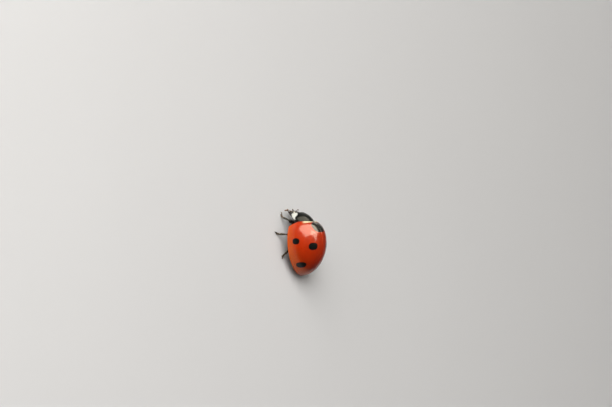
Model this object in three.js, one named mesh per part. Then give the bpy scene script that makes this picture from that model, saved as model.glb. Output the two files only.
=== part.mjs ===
// Seven-spot ladybird, life size, standing on its six feet.
// Millimetres, +Z up, head toward -Y, the animal's left side toward +X.
import * as THREE from 'three';

// ---- driving sizes ---------------------------------------------------------------------------
const ELYTRA_LENGTH = 5.67;          // wing cases, base to tip
const ELYTRA_HALF_WIDTH = 2.66;
const DOME_HEIGHT = 2.69;            // above the plane of the margins
const WIDEST_AT = 0.4;               // shares of the wing cases' length
const HIGHEST_AT = 0.385;
const SHOULDER_SHARE = 0.732;        // half width at the base over the widest
const BASE_HEIGHT_SHARE = 0.657;
const BASE_Y = -0.45 * ELYTRA_LENGTH;
const WIDTH_POWERS = { front: 2.36, rear: 1.86 };
const HEIGHT_POWERS = { front: 3.0, rear: 1.79 };
const SIDE_POWER = 1 / 1.1;          // below 1 fills out the section toward the margins

const SHELL_THICKNESS = 0.5;
const GAP = 0.04;                    // between neighbouring plates
const SEAM_GAP = 0.02;               // between the two wing cases
const RIDE_HEIGHT = 1.08;            // plane of the margins above the floor
const NOSE_UP = THREE.MathUtils.degToRad(8.5);

const NOTCH_HALF_SHARE = 0.07;       // gap for the scutellum, in shares of the quarter turn
const NOTCH_LENGTH_SHARE = 0.07;     // and of the wing cases' length
const SHOULDER_TURN = 0.72;          // where the base edge starts to round back
const SHOULDER_SET_BACK = 0.06;      // shares of the wing cases' length
const BASE_HOLLOW = 0.014;
const LIP_SHARE = 0.06;              // low rounded lip along the base edge
const LIP_DROP = 0.07;

const BELLY_DEPTH = 0.34;
const WAIST_SHARE = 0.42;            // where the thorax ends and the abdomen begins
const ABDOMEN_END_SHARE = 0.93;

// Neck shield, each pair from its rear edge to its front edge.
const SHIELD = {
  crownY: [BASE_Y - 0.07, -3.6],
  crownZ: [1.5, 0.23],
  marginX: [1.43, 1.13],
  marginY: [BASE_Y - 0.2, -3.48],
  marginZ: [0.3, -0.38],
  lean: [0.3, 1.0],
  crownBulge: 0.1,
  sideBulge: 0.12,
  marginBulge: 0.04,
};

const FEELER_RADIUS = 0.23;
const TOE_HEIGHT = 0.14;             // middle of the foot's tip above the floor

// ---- finishes --------------------------------------------------------------------------------
function finish(color, roughness) {
  return new THREE.MeshStandardMaterial({ color, roughness, metalness: 0 });
}

const FINISHES = {
  elytra: finish(0xc4310a, 0.22),
  black: finish(0x101210, 0.3),
  eye: finish(0x08080a, 0.15),
  underside: finish(0x17130f, 0.5),
  leg: finish(0x14110e, 0.4),
};

// ---- vectors and meshes ----------------------------------------------------------------------
const vec = (x, y, z) => new THREE.Vector3(x, y, z);
const lerp = THREE.MathUtils.lerp;
const clamp01 = (value) => THREE.MathUtils.clamp(value, 0, 1);

function signedPower(value, power) {
  return Math.sign(value) * Math.abs(value) ** power;
}

/** Six times the signed volume enclosed by a triangle list. */
function orientation(points, triangles) {
  return triangles.reduce((sum, [a, b, c]) => {
    const normal = new THREE.Vector3().crossVectors(points[b], points[c]);
    return sum + points[a].dot(normal);
  }, 0);
}

/** Builds a closed geometry whose triangles face outward. */
function closedGeometry(points, triangles) {
  const outward = orientation(points, triangles) > 0;
  const index = triangles.flatMap(([a, b, c]) => (outward ? [a, b, c] : [a, c, b]));
  const geometry = new THREE.BufferGeometry();
  const positions = points.flatMap((point) => point.toArray());
  geometry.setAttribute('position', new THREE.Float32BufferAttribute(positions, 3));
  geometry.setIndex(index);
  geometry.computeVertexNormals();
  return geometry;
}

/** Mirror image of a closed geometry across the animal's middle plane. */
function mirrorImage(geometry) {
  const image = geometry.clone().scale(-1, 1, 1);
  const reversed = Array.from(image.getIndex().array).reverse();
  image.setIndex(reversed);
  image.computeVertexNormals();
  return image;
}

function mesh(name, geometry, material) {
  const result = new THREE.Mesh(geometry, material);
  result.name = name;
  return result;
}

/** Mesh of a paired part, whose geometry is given for the left side. */
function pairedMesh(name, side, geometry, material) {
  const isLeft = side > 0;
  const shape = isLeft ? geometry : mirrorImage(geometry);
  return mesh(`${name}_${isLeft ? 'left' : 'right'}`, shape, material);
}

/** Adds the two triangles of a quadrilateral given by its corners in order. */
function addQuad(triangles, a, b, c, d) {
  triangles.push([a, b, c], [a, c, d]);
}

/**
 * Closed solid through a row of rings with equal point counts. Each end is closed by a fan to
 * its pole, which is the ring's middle when none is given.
 */
function loft(rings, { startPole = null, endPole = null } = {}) {
  const count = rings[0].length;
  const points = rings.flat();
  const triangles = [];
  for (let row = 0; row + 1 < rings.length; row += 1) {
    for (let column = 0; column < count; column += 1) {
      const next = (column + 1) % count;
      const here = row * count;
      addQuad(triangles, here + column, here + next, here + count + next, here + count + column);
    }
  }
  const middle = (ring) => ring.reduce((sum, point) => sum.add(point), vec(0, 0, 0))
    .divideScalar(count);
  const start = points.push(startPole ?? middle(rings[0])) - 1;
  const end = points.push(endPole ?? middle(rings[rings.length - 1])) - 1;
  const last = (rings.length - 1) * count;
  for (let column = 0; column < count; column += 1) {
    const next = (column + 1) % count;
    triangles.push([start, next, column], [end, last + column, last + next]);
  }
  return closedGeometry(points, triangles);
}

/**
 * Closed plate between an outer and an inner patch of surface, both given as rows of points of
 * the same size. With poles, the last row narrows to one point on each patch.
 */
function plate(outer, inner, poles = null) {
  const rows = outer.length;
  const columns = outer[0].length;
  const points = [...outer.flat(), ...inner.flat()];
  const under = rows * columns;
  const at = (row, column) => row * columns + column;
  const triangles = [];
  for (let row = 0; row + 1 < rows; row += 1) {
    for (let column = 0; column + 1 < columns; column += 1) {
      const corners = [
        at(row, column), at(row, column + 1), at(row + 1, column + 1), at(row + 1, column),
      ];
      addQuad(triangles, ...corners);
      addQuad(triangles, ...corners.map((corner) => corner + under).reverse());
    }
  }
  const rim = (a, b) => addQuad(triangles, b, a, a + under, b + under);
  for (let column = 0; column + 1 < columns; column += 1) {
    rim(at(0, column), at(0, column + 1));
  }
  for (let row = 0; row + 1 < rows; row += 1) {
    rim(at(row + 1, 0), at(row, 0));
    rim(at(row, columns - 1), at(row + 1, columns - 1));
  }
  if (!poles) {
    for (let column = 0; column + 1 < columns; column += 1) {
      rim(at(rows - 1, column + 1), at(rows - 1, column));
    }
    return closedGeometry(points, triangles);
  }
  const top = points.push(poles.outer) - 1;
  const bottom = points.push(poles.inner) - 1;
  const last = rows - 1;
  for (let column = 0; column + 1 < columns; column += 1) {
    triangles.push([at(last, column), at(last, column + 1), top]);
    triangles.push([at(last, column + 1) + under, at(last, column) + under, bottom]);
  }
  addQuad(triangles, at(last, 0), top, bottom, at(last, 0) + under);
  const edge = at(last, columns - 1);
  addQuad(triangles, top, edge, edge + under, bottom);
  return closedGeometry(points, triangles);
}

/** Values from 0 to 1, closer together toward both ends. */
function easedSteps(count) {
  return Array.from({ length: count + 1 }, (_, i) => (1 - Math.cos((Math.PI * i) / count)) / 2);
}

function evenSteps(count, from = 0, to = 1) {
  return Array.from({ length: count + 1 }, (_, i) => lerp(from, to, i / count));
}

// ---- wing cases ------------------------------------------------------------------------------
/** Height or width along the wing cases: rises from the base, then rounds off to the tip. */
function swell(share, peak, start, powers) {
  if (share < peak) {
    return 1 - (1 - start) * (1 - share / peak) ** powers.front;
  }
  return Math.sqrt(clamp01(1 - ((share - peak) / (1 - peak)) ** powers.rear));
}

/** Where a line of the wing cases begins: behind the scutellum, and round the shoulder. */
function baseShare(turn) {
  const notch = NOTCH_LENGTH_SHARE * clamp01(1 - turn / NOTCH_HALF_SHARE);
  const pastShoulder = clamp01((turn - SHOULDER_TURN) / (1 - SHOULDER_TURN));
  const shoulder = SHOULDER_SET_BACK * pastShoulder ** 2;
  const hollow = BASE_HOLLOW * Math.sin(Math.PI * clamp01(turn / 0.8));
  return notch + shoulder - hollow;
}

/**
 * Point on the outer face of the wing cases.
 * share: 0 at the base to 1 at the tip; turn: 0 at the seam to 1 at the left margin.
 */
function elytraPoint(share, turn) {
  const start = baseShare(Math.abs(turn));
  const along = lerp(start, 1, share);
  const width = ELYTRA_HALF_WIDTH * swell(along, WIDEST_AT, SHOULDER_SHARE, WIDTH_POWERS);
  const lip = 1 - LIP_DROP * clamp01(1 - along / LIP_SHARE) ** 2;
  const height = DOME_HEIGHT * lip * swell(along, HIGHEST_AT, BASE_HEIGHT_SHARE, HEIGHT_POWERS);
  const angle = (turn * Math.PI) / 2;
  const x = width * signedPower(Math.sin(angle), SIDE_POWER);
  return vec(x, BASE_Y + along * ELYTRA_LENGTH, height * Math.cos(angle));
}

/** The same point moved inward along the surface's normal. */
function elytraInset(share, turn, depth) {
  const s = Math.min(share, 0.993);
  const step = 1e-4;
  const alongLine = elytraPoint(s + step, turn).sub(elytraPoint(Math.max(s - step, 0), turn));
  const across = elytraPoint(s, turn + step).sub(elytraPoint(s, turn - step));
  const normal = across.cross(alongLine).normalize();
  return elytraPoint(share, turn).addScaledVector(normal, -depth);
}

function elytron(side) {
  const shares = easedSteps(18).slice(0, -1);
  const turns = evenSteps(12).map((value) => value ** 1.4);
  const besideSeam = vec(SEAM_GAP / 2, 0, 0);
  const rows = (depth) => shares.map((share) => turns.map((turn) => {
    const point = elytraInset(share, turn, depth);
    point.x = Math.max(point.x, 0);
    return point.add(besideSeam);
  }));
  const tip = elytraPoint(1, 0).add(besideSeam);
  const poles = { outer: tip, inner: tip.clone().add(vec(0, -SHELL_THICKNESS, 0)) };
  const geometry = plate(rows(0), rows(SHELL_THICKNESS), poles);
  return pairedMesh('elytron', side, geometry, FINISHES.elytra);
}

// ---- trunk under the wing cases --------------------------------------------------------------
/** Ring round the trunk: the inside of the wing cases above, a shallow belly below. */
function trunkRing(share, bellyDepth, shift = 0) {
  const depth = SHELL_THICKNESS + GAP;
  const back = evenSteps(14, -1, 1).map((turn) => elytraInset(share, turn, depth));
  const right = back[0];
  const left = back[back.length - 1];
  const middle = right.clone().add(left).multiplyScalar(0.5);
  const belly = evenSteps(12).slice(1, -1).map((t) => {
    const angle = t * Math.PI;
    const point = middle.clone();
    point.x += (left.x - middle.x) * signedPower(Math.cos(angle), 0.8);
    point.z -= bellyDepth * Math.sin(angle) ** 0.7;
    return point;
  });
  return [...back, ...belly].map((point) => point.add(vec(0, shift, 0)));
}

function bellyDepth(share) {
  return BELLY_DEPTH * Math.sqrt(clamp01(1 - share ** 3)) + GAP / 2;
}

function hindThorax() {
  const shares = [0.02, 0.06, 0.12, 0.2, 0.28, 0.35, WAIST_SHARE];
  const rings = shares.map((share) => trunkRing(share, bellyDepth(share)));
  const collar = (scale, ahead) => rings[0].map((point) => vec(
    point.x * scale,
    point.y - ahead,
    lerp(-0.1, point.z, scale),
  ));
  rings.unshift(collar(0.62, 0.24), collar(0.72, 0.08));
  return mesh('hind_thorax', loft(rings), FINISHES.underside);
}

/** Five overlapping belly plates, each a little lower at its rear edge. */
function abdomen() {
  const plates = 5;
  const step = 0.05;
  const rings = [];
  const sharesOf = (index) => lerp(WAIST_SHARE, ABDOMEN_END_SHARE, index / plates);
  for (let i = 0; i < plates; i += 1) {
    const from = sharesOf(i);
    const to = sharesOf(i + 1);
    const lift = i === 0 ? 0 : step;
    rings.push(trunkRing(from + (i === 0 ? 0 : 0.006), bellyDepth(from) - lift, GAP));
    rings.push(trunkRing(lerp(from, to, 0.55), bellyDepth(lerp(from, to, 0.55)), GAP));
    rings.push(trunkRing(to - 0.006, bellyDepth(to), GAP));
  }
  const tip = elytraPoint(1, 0);
  const endPole = tip.add(vec(0, -SHELL_THICKNESS - GAP, -0.05));
  return mesh('abdomen', loft(rings, { endPole }), FINISHES.underside);
}

/** Small triangular plate in the notch between the bases of the wing cases. */
function scutellum() {
  const halfWidth = 0.2;
  const length = NOTCH_LENGTH_SHARE * ELYTRA_LENGTH - 0.12;
  const depth = 0.42;
  const outline = [vec(-halfWidth, 0, 0), vec(halfWidth, 0, 0), vec(0, length, 0)];
  const ring = (scale, z) => outline.map((point) => vec(
    point.x * scale,
    length / 3 + (point.y - length / 3) * scale,
    z,
  ));
  const rings = [ring(1, -depth), ring(1, -0.05), ring(0.8, 0)];
  const result = mesh('scutellum', loft(rings), FINISHES.black);
  const slope = (elytraPoint(0.02, 0.2).z - elytraPoint(0, 0.2).z)
    / (elytraPoint(0.02, 0.2).y - elytraPoint(0, 0.2).y);
  result.rotation.x = Math.atan(slope);
  result.position.set(0, BASE_Y + 0.02, elytraPoint(0, NOTCH_HALF_SHARE).z);
  return result;
}

// ---- prothorax -------------------------------------------------------------------------------
/**
 * Point of the neck shield or of a surface inside it.
 * share: 0 at its rear edge to 1 at its front edge; turn: -1 to 1 across, 1 at the left margin.
 */
function shieldPoint(share, turn, inset = 0) {
  const between = ([rear, front]) => lerp(rear, front, share);
  const swelling = Math.sin(Math.PI * share);
  const bulge = SHIELD.crownBulge * swelling;
  const crown = vec(0, between(SHIELD.crownY) - bulge, between(SHIELD.crownZ) + bulge);
  const lean = between(SHIELD.lean);
  const crownInset = inset * 1.15;
  crown.y += crownInset * Math.sin(lean);
  crown.z -= crownInset * Math.cos(lean);
  const marginX = between(SHIELD.marginX) + SHIELD.sideBulge * swelling - inset;
  const marginY = between(SHIELD.marginY);
  const marginZ = between(SHIELD.marginZ) + SHIELD.marginBulge * swelling;
  const angle = (turn * Math.PI) / 2;
  const across = signedPower(Math.sin(angle), SIDE_POWER);
  const up = Math.cos(angle) ** 1.3;
  return vec(marginX * across, lerp(marginY, crown.y, up), lerp(marginZ, crown.z, up));
}

function pronotum() {
  const shares = evenSteps(8);
  const turns = evenSteps(16, -1, 1);
  const rows = (inset) => shares.map((share) => turns.map((turn) => shieldPoint(share, turn, inset)));
  return mesh('pronotum', plate(rows(0), rows(SHELL_THICKNESS)), FINISHES.black);
}

function prothorax() {
  const shares = evenSteps(4, 0.03, 0.54);
  const rings = shares.map((share) => {
    const back = evenSteps(12, -1, 1)
      .map((turn) => shieldPoint(share, turn, SHELL_THICKNESS + 2 * GAP));
    const left = back[back.length - 1];
    const sink = lerp(0.6, 0.42, share);
    const belly = evenSteps(10).slice(1, -1).map((t) => {
      const angle = t * Math.PI;
      const x = left.x * Math.cos(angle);
      return vec(x, left.y + 0.08 * Math.sin(angle), left.z - sink * Math.sin(angle) ** 0.8);
    });
    return [...back, ...belly];
  });
  return mesh('prothorax', loft(rings), FINISHES.underside);
}

// ---- head ------------------------------------------------------------------------------------
const HEAD_CENTRE = vec(0, -3.45, 1.0);
const HEAD_TILT = THREE.MathUtils.degToRad(31);
const HEAD_HALF_LENGTH = 0.56;
const HEAD_HALF_WIDTH = 0.6;
const HEAD_HALF_DEPTH = 0.34;

/** Turns a head part so that its local +Z, the crown, leans back and -Y, the face, looks up. */
function inHeadFrame(object) {
  const holder = new THREE.Group();
  holder.add(object);
  holder.position.copy(HEAD_CENTRE);
  holder.rotation.x = -HEAD_TILT;
  return holder;
}

/** Ring of a rounded box shape round the local Z axis. */
function roundedRing(halfX, halfY, z, count, power = 0.8) {
  return evenSteps(count).slice(0, -1).map((t) => {
    const angle = t * 2 * Math.PI;
    const x = halfX * signedPower(Math.cos(angle), power);
    return vec(x, halfY * signedPower(Math.sin(angle), power), z);
  });
}

function headCapsule() {
  const rings = easedSteps(10).slice(1, -1).map((t) => {
    const height = 2 * t - 1;
    const taper = height < 0 ? 1 + 0.38 * height : 1;
    const round = (1 - Math.abs(height) ** 3) ** 0.45;
    const z = height * HEAD_HALF_LENGTH;
    return roundedRing(HEAD_HALF_WIDTH * taper * round, HEAD_HALF_DEPTH * round, z, 24);
  });
  const geometry = loft(rings, {
    startPole: vec(0, 0, -HEAD_HALF_LENGTH),
    endPole: vec(0, 0, HEAD_HALF_LENGTH),
  });
  return inHeadFrame(mesh('head', geometry, FINISHES.black));
}

function eye(side) {
  const domeHeight = 0.2;
  const halfDepth = 0.22;
  const halfLength = 0.28;
  const middle = 0.1;
  const seat = HEAD_HALF_WIDTH + GAP;
  const rings = [0, 0.4, 0.7, 0.9].map((t) => {
    const round = Math.sqrt(1 - t * t);
    return evenSteps(14).slice(0, -1).map((turn) => {
      const angle = turn * 2 * Math.PI;
      const y = halfDepth * round * Math.cos(angle);
      return vec(seat + domeHeight * t, y, middle + halfLength * round * Math.sin(angle));
    });
  });
  const endPole = vec(seat + domeHeight, 0, middle);
  return inHeadFrame(pairedMesh('eye', side, loft(rings, { endPole }), FINISHES.eye));
}

function upperLip() {
  const rings = [
    roundedRing(0.24, 0.18, -HEAD_HALF_LENGTH - 0.16, 16),
    roundedRing(0.28, 0.22, -HEAD_HALF_LENGTH - 0.1, 16),
    roundedRing(0.26, 0.2, -HEAD_HALF_LENGTH - GAP, 16),
  ];
  return inHeadFrame(mesh('labrum', loft(rings), FINISHES.black));
}

// ---- limbs -----------------------------------------------------------------------------------
function direction(from, to) {
  return to.clone().sub(from).normalize();
}

/**
 * Ring of a limb that runs along `ahead`, cut off by the plane through `at` square to `cut`.
 * Nothing of a limb goes below the floor, which leaves a flat where it would.
 */
function limbRing(at, ahead, cut, wide, high, sides) {
  const across = new THREE.Vector3().crossVectors(ahead, vec(0, 0, 1)).normalize();
  const above = new THREE.Vector3().crossVectors(across, ahead);
  return evenSteps(sides).slice(0, -1).map((t) => {
    const angle = t * 2 * Math.PI;
    const reach = across.clone().multiplyScalar(wide * Math.cos(angle))
      .addScaledVector(above, high * Math.sin(angle));
    const slide = -reach.dot(cut) / ahead.dot(cut);
    const point = at.clone().add(reach).addScaledVector(ahead, slide);
    point.z = Math.max(point.z, 0);
    return point;
  });
}

/**
 * One segment of a limb between two joints. At a joint it is cut by the plane that halves the
 * bend, so that it meets its neighbour across an even gap.
 */
function limbSegment(before, from, to, after, girth, sides = 12) {
  const ahead = direction(from, to);
  const cutFrom = before ? direction(before, from).add(ahead).normalize() : ahead;
  const cutTo = after ? direction(to, after).add(ahead).normalize() : ahead;
  const start = from.clone().addScaledVector(cutFrom, GAP / 2);
  const end = to.clone().addScaledVector(cutTo, -GAP / 2);
  const last = girth.length - 1;
  const rings = girth.map(([share, wide, high], i) => {
    const cut = [cutFrom, ahead, cutTo][i === 0 ? 0 : 1 + Math.floor(i / last)];
    return limbRing(start.clone().lerp(end, share), ahead, cut, wide, high, sides);
  });
  return loft(rings);
}

/** Joint points of the left legs; the toe is the tip of the foot on the floor. */
const LEGS = {
  fore: {
    hip: vec(0.42, -2.62, 0.84),
    knee: vec(1.3, -2.82, 0.96),
    ankle: vec(1.28, -3.24, 0.3),
    toe: vec(1.12, -3.88, 0),
  },
  mid: {
    hip: vec(0.62, -1.12, 0.6),
    knee: vec(1.82, -1.36, 0.8),
    ankle: vec(2.4, -1.5, 0.28),
    toe: vec(3.06, -1.78, 0),
  },
  hind: {
    hip: vec(0.5, -0.2, 0.47),
    knee: vec(1.52, 0.12, 0.62),
    ankle: vec(2.12, 0.62, 0.28),
    toe: vec(2.58, 1.08, 0),
  },
};

/** Half width and half height of each segment at shares of its length. */
const THIGH_GIRTH = [
  [0, 0.18, 0.18], [0.14, 0.24, 0.23], [0.45, 0.26, 0.25], [0.8, 0.23, 0.23], [1, 0.19, 0.2],
];
const SHIN_GIRTH = [[0, 0.19, 0.2], [0.2, 0.22, 0.22], [0.7, 0.24, 0.23], [1, 0.2, 0.19]];
const FOOT_GIRTH = [
  [0, 0.19, 0.19], [0.2, 0.2, 0.21], [0.45, 0.24, 0.24], [0.7, 0.25, 0.25], [0.9, 0.22, 0.22],
  [1, 0.1, 0.1],
];

function coxa(hip) {
  const halfLength = 0.32;
  const halfWidth = 0.26;
  const halfHeight = 0.23;
  const rings = [-0.95, -0.6, 0, 0.6, 0.95].map((t) => {
    const round = Math.sqrt(1 - t * t);
    return evenSteps(12).slice(0, -1).map((turn) => {
      const angle = turn * 2 * Math.PI;
      const y = halfWidth * round * Math.cos(angle);
      return vec(halfLength * t, y, halfHeight * round * Math.sin(angle)).add(hip);
    });
  });
  const ends = {
    startPole: hip.clone().add(vec(-halfLength, 0, 0)),
    endPole: hip.clone().add(vec(halfLength, 0, 0)),
  };
  return loft(rings, ends);
}

/** Coxa, thigh, shin and foot of one leg, the foot flat beneath where it meets the floor. */
function leg(pair, side) {
  const { hip, knee, ankle, toe } = LEGS[pair];
  const socket = hip.clone().add(vec(0.3, 0, 0));
  const tip = toe.clone().add(vec(0, 0, TOE_HEIGHT));
  const segments = {
    coxa: coxa(hip),
    femur: limbSegment(null, socket, knee, ankle, THIGH_GIRTH),
    tibia: limbSegment(socket, knee, ankle, tip, SHIN_GIRTH),
    tarsus: limbSegment(knee, ankle, tip, null, FOOT_GIRTH),
  };
  return Object.entries(segments)
    .map(([segment, shape]) => pairedMesh(`${pair}_${segment}`, side, shape, FINISHES.leg));
}

// ---- feelers and palps -----------------------------------------------------------------------
/** Round body along a curve, its half thickness given at shares of the curve's length. */
function bentSpindle(curve, girth, sides = 10) {
  const rings = girth.slice(1, -1).map(([share, radius]) => {
    const ahead = curve.getTangent(share);
    return limbRing(curve.getPoint(share), ahead, ahead, radius, radius, sides);
  });
  return loft(rings, { startPole: curve.getPoint(0), endPole: curve.getPoint(1) });
}

function antenna(side) {
  const curve = new THREE.QuadraticBezierCurve3(
    vec(0.42, -3.75, 0.95),
    vec(0.86, -4.02, 0.92),
    vec(1.3, -3.95, 0.66),
  );
  const club = FEELER_RADIUS + 0.02;
  const girth = [
    [0, 0], [0.07, 0.17], [0.25, 0.19], [0.45, 0.18], [0.62, 0.2], [0.78, club], [0.93, 0.18], [1, 0],
  ];
  return pairedMesh('antenna', side, bentSpindle(curve, girth), FINISHES.leg);
}

function palp(side) {
  const girth = [[0, 0], [0.12, 0.13], [0.45, 0.19], [0.8, FEELER_RADIUS], [0.97, 0.19], [1, 0]];
  const curve = new THREE.LineCurve3(vec(0.38, -3.81, 0.57), vec(0.58, -4.05, 0.5));
  return pairedMesh('palp', side, bentSpindle(curve, girth), FINISHES.leg);
}

// ---- assembly --------------------------------------------------------------------------------
function ladybird() {
  const trunk = new THREE.Group();
  trunk.add(elytron(1), elytron(-1), scutellum(), hindThorax(), abdomen(), pronotum(), prothorax());
  trunk.rotation.x = -NOSE_UP;
  trunk.position.z = RIDE_HEIGHT;

  const animal = new THREE.Group();
  animal.add(trunk, headCapsule(), upperLip());
  [1, -1].forEach((side) => {
    animal.add(eye(side), antenna(side), palp(side));
    Object.keys(LEGS).forEach((pair) => animal.add(...leg(pair, side)));
  });

  animal.updateMatrixWorld(true);
  const box = new THREE.Box3().setFromObject(animal, true);
  const middle = box.getCenter(new THREE.Vector3());
  animal.position.set(-middle.x, -middle.y, -box.min.z);
  const root = new THREE.Group();
  root.add(animal);
  return root;
}

export default ladybird();
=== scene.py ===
"""Seven-spot ladybird, life size, standing on its six feet.

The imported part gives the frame. Every piece is shaped in millimetres by the same rules as the
part, set into the part's frame, and dressed with a finish of its own.
"""

import logging
import math
from collections.abc import Callable, Iterable, Sequence
from dataclasses import dataclass, field, replace
from enum import Enum

import bmesh
import bpy
import numpy as np
from mathutils import Matrix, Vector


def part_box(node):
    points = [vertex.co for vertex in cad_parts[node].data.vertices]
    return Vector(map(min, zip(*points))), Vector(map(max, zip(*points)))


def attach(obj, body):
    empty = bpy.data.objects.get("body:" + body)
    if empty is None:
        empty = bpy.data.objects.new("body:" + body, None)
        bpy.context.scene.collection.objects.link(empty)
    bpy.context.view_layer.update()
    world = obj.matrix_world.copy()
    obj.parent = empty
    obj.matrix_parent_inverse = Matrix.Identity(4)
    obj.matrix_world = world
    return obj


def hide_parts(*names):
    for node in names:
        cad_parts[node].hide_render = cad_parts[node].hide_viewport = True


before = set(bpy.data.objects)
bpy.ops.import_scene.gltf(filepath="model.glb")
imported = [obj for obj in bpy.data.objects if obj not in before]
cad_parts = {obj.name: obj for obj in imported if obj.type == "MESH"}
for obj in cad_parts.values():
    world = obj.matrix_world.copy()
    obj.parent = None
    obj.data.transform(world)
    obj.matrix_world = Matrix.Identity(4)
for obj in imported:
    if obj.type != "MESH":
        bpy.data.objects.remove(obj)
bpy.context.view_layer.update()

MM = 0.001
BODY = "root"
LOG = logging.getLogger("ladybird")

Colour = tuple[float, float, float]
Point = tuple[float, float, float]
Array = np.ndarray
Socket = bpy.types.NodeSocket
Material = bpy.types.Material
Piece = bpy.types.Object


# Formulas that serve arrays and node trees alike
class Graph:
    """A node tree under construction, for a material or for Geometry Nodes."""

    def __init__(self, tree: bpy.types.NodeTree) -> None:
        """Wraps a tree.

        Args:
            tree: the node tree that new nodes go to.
        """
        self.tree = tree

    def feed(self, socket: Socket, value: object) -> None:
        """Sets an input to a constant, or links it.

        Args:
            socket: the input.
            value: a Term or a socket to link, or a constant.
        """
        if isinstance(value, Term):
            value = value.socket
        if isinstance(value, Socket):
            self.tree.links.new(value, socket)
        else:
            socket.default_value = value

    def node(self, kind: str, inputs: dict | None = None, **settings: object) -> bpy.types.Node:
        """Adds a node.

        Args:
            kind: the node's type.
            inputs: values or links for its inputs, by name or index.
            **settings: its other properties.

        Returns:
            The new node.
        """
        made = self.tree.nodes.new(kind)
        for name, value in settings.items():
            setattr(made, name, value)
        for key, value in (inputs or {}).items():
            self.feed(made.inputs[key], value)
        return made

    def term(self, socket: Socket) -> "Term":
        """Returns a socket as a number for formulas."""
        return Term(self, socket)

    def split(self, vector: Socket) -> list["Term"]:
        """Returns the three numbers of a vector socket."""
        parts = self.node("ShaderNodeSeparateXYZ", {0: vector})
        return [self.term(socket) for socket in parts.outputs]

    def vector(self, x: object, y: object, z: object) -> Socket:
        """Returns three numbers as one vector socket."""
        return self.node("ShaderNodeCombineXYZ", {0: x, 1: y, 2: z}).outputs[0]


class Term:
    """A number in a node tree that formulas can use."""

    def __init__(self, graph: Graph, socket: Socket) -> None:
        """Wraps an output socket.

        Args:
            graph: the tree that the socket is in.
            socket: the output that carries the number.
        """
        self.graph = graph
        self.socket = socket

    def apply(self, operation: str, *values: object) -> "Term":
        """Adds a Math node to this term's tree.

        Args:
            operation: the node's operation.
            *values: its inputs, terms or plain numbers.

        Returns:
            The node's result.
        """
        inputs = {i: v if isinstance(v, Term) else float(v) for i, v in enumerate(values)}
        made = self.graph.node("ShaderNodeMath", inputs, operation=operation)
        return Term(self.graph, made.outputs[0])

    def __add__(self, other: object) -> "Term":
        """Sum."""
        return self.apply("ADD", self, other)

    def __sub__(self, other: object) -> "Term":
        """Difference."""
        return self.apply("SUBTRACT", self, other)

    def __rsub__(self, other: object) -> "Term":
        """Difference from a plain number."""
        return self.apply("SUBTRACT", other, self)

    def __mul__(self, other: object) -> "Term":
        """Product."""
        return self.apply("MULTIPLY", self, other)

    def __truediv__(self, other: object) -> "Term":
        """Quotient."""
        return self.apply("DIVIDE", self, other)

    def __pow__(self, other: object) -> "Term":
        """Power."""
        return self.apply("POWER", self, other)

    __radd__ = __add__
    __rmul__ = __mul__


def formula(operation: str, plain: Callable) -> Callable:
    """Makes a function that serves arrays and terms alike.

    Args:
        operation: the Math node's operation.
        plain: what does the same to arrays.

    Returns:
        The function.
    """
    def work(value: object, *others: object) -> object:
        """Returns the result, a term where the first value is one."""
        if isinstance(value, Term):
            return value.apply(operation, value, *others)
        return plain(value, *others)

    return work


sine = formula("SINE", np.sin)
cosine = formula("COSINE", np.cos)
size_of = formula("ABSOLUTE", np.abs)
sign_of = formula("SIGN", np.sign)
least = formula("MINIMUM", np.minimum)
most = formula("MAXIMUM", np.maximum)


def clamp01(value: object) -> object:
    """Returns the value held between 0 and 1."""
    return least(most(value, 0.0), 1.0)


def ramp(value: object, low: float, high: float) -> object:
    """Returns a smooth rise from 0 at low to 1 at high, or a fall where low is the greater."""
    t = clamp01((value - low) / (high - low))
    return t * t * (3.0 - 2.0 * t)


def hump(value: object, centre: float, width: float) -> object:
    """Returns a smooth bump of height 1 round a centre."""
    t = clamp01(size_of((value - centre) / width))
    return (1.0 - t * t) ** 2.0


def signed_power(value: object, power: float) -> object:
    """Returns a power that keeps the value's sign."""
    return sign_of(value) * size_of(value) ** power


def lerp(start: object, end: object, share: object) -> object:
    """Returns the value at a share of the way from start to end."""
    return start + (end - start) * share


def bell(value: Array, centre: float, width: float) -> Array:
    """Returns a bell of height 1 round a centre."""
    return np.exp(-((value - centre) / width) ** 2)


def swell(share: object, peak: float, start: float, powers: Sequence[float]) -> object:
    """Height or width along the wing cases: rises from the base, then rounds off to the tip.

    Args:
        share: place along the wing cases.
        peak: share of the greatest value.
        start: value at the base, the greatest being 1.
        powers: how quickly it curves before and after the peak.

    Returns:
        The value, up to 1.
    """
    front = 1.0 - (1.0 - start) * most(1.0 - share / peak, 0.0) ** powers[0]
    rear = clamp01(1.0 - clamp01((share - peak) / (1.0 - peak)) ** powers[1]) ** 0.5
    return front * rear


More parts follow.
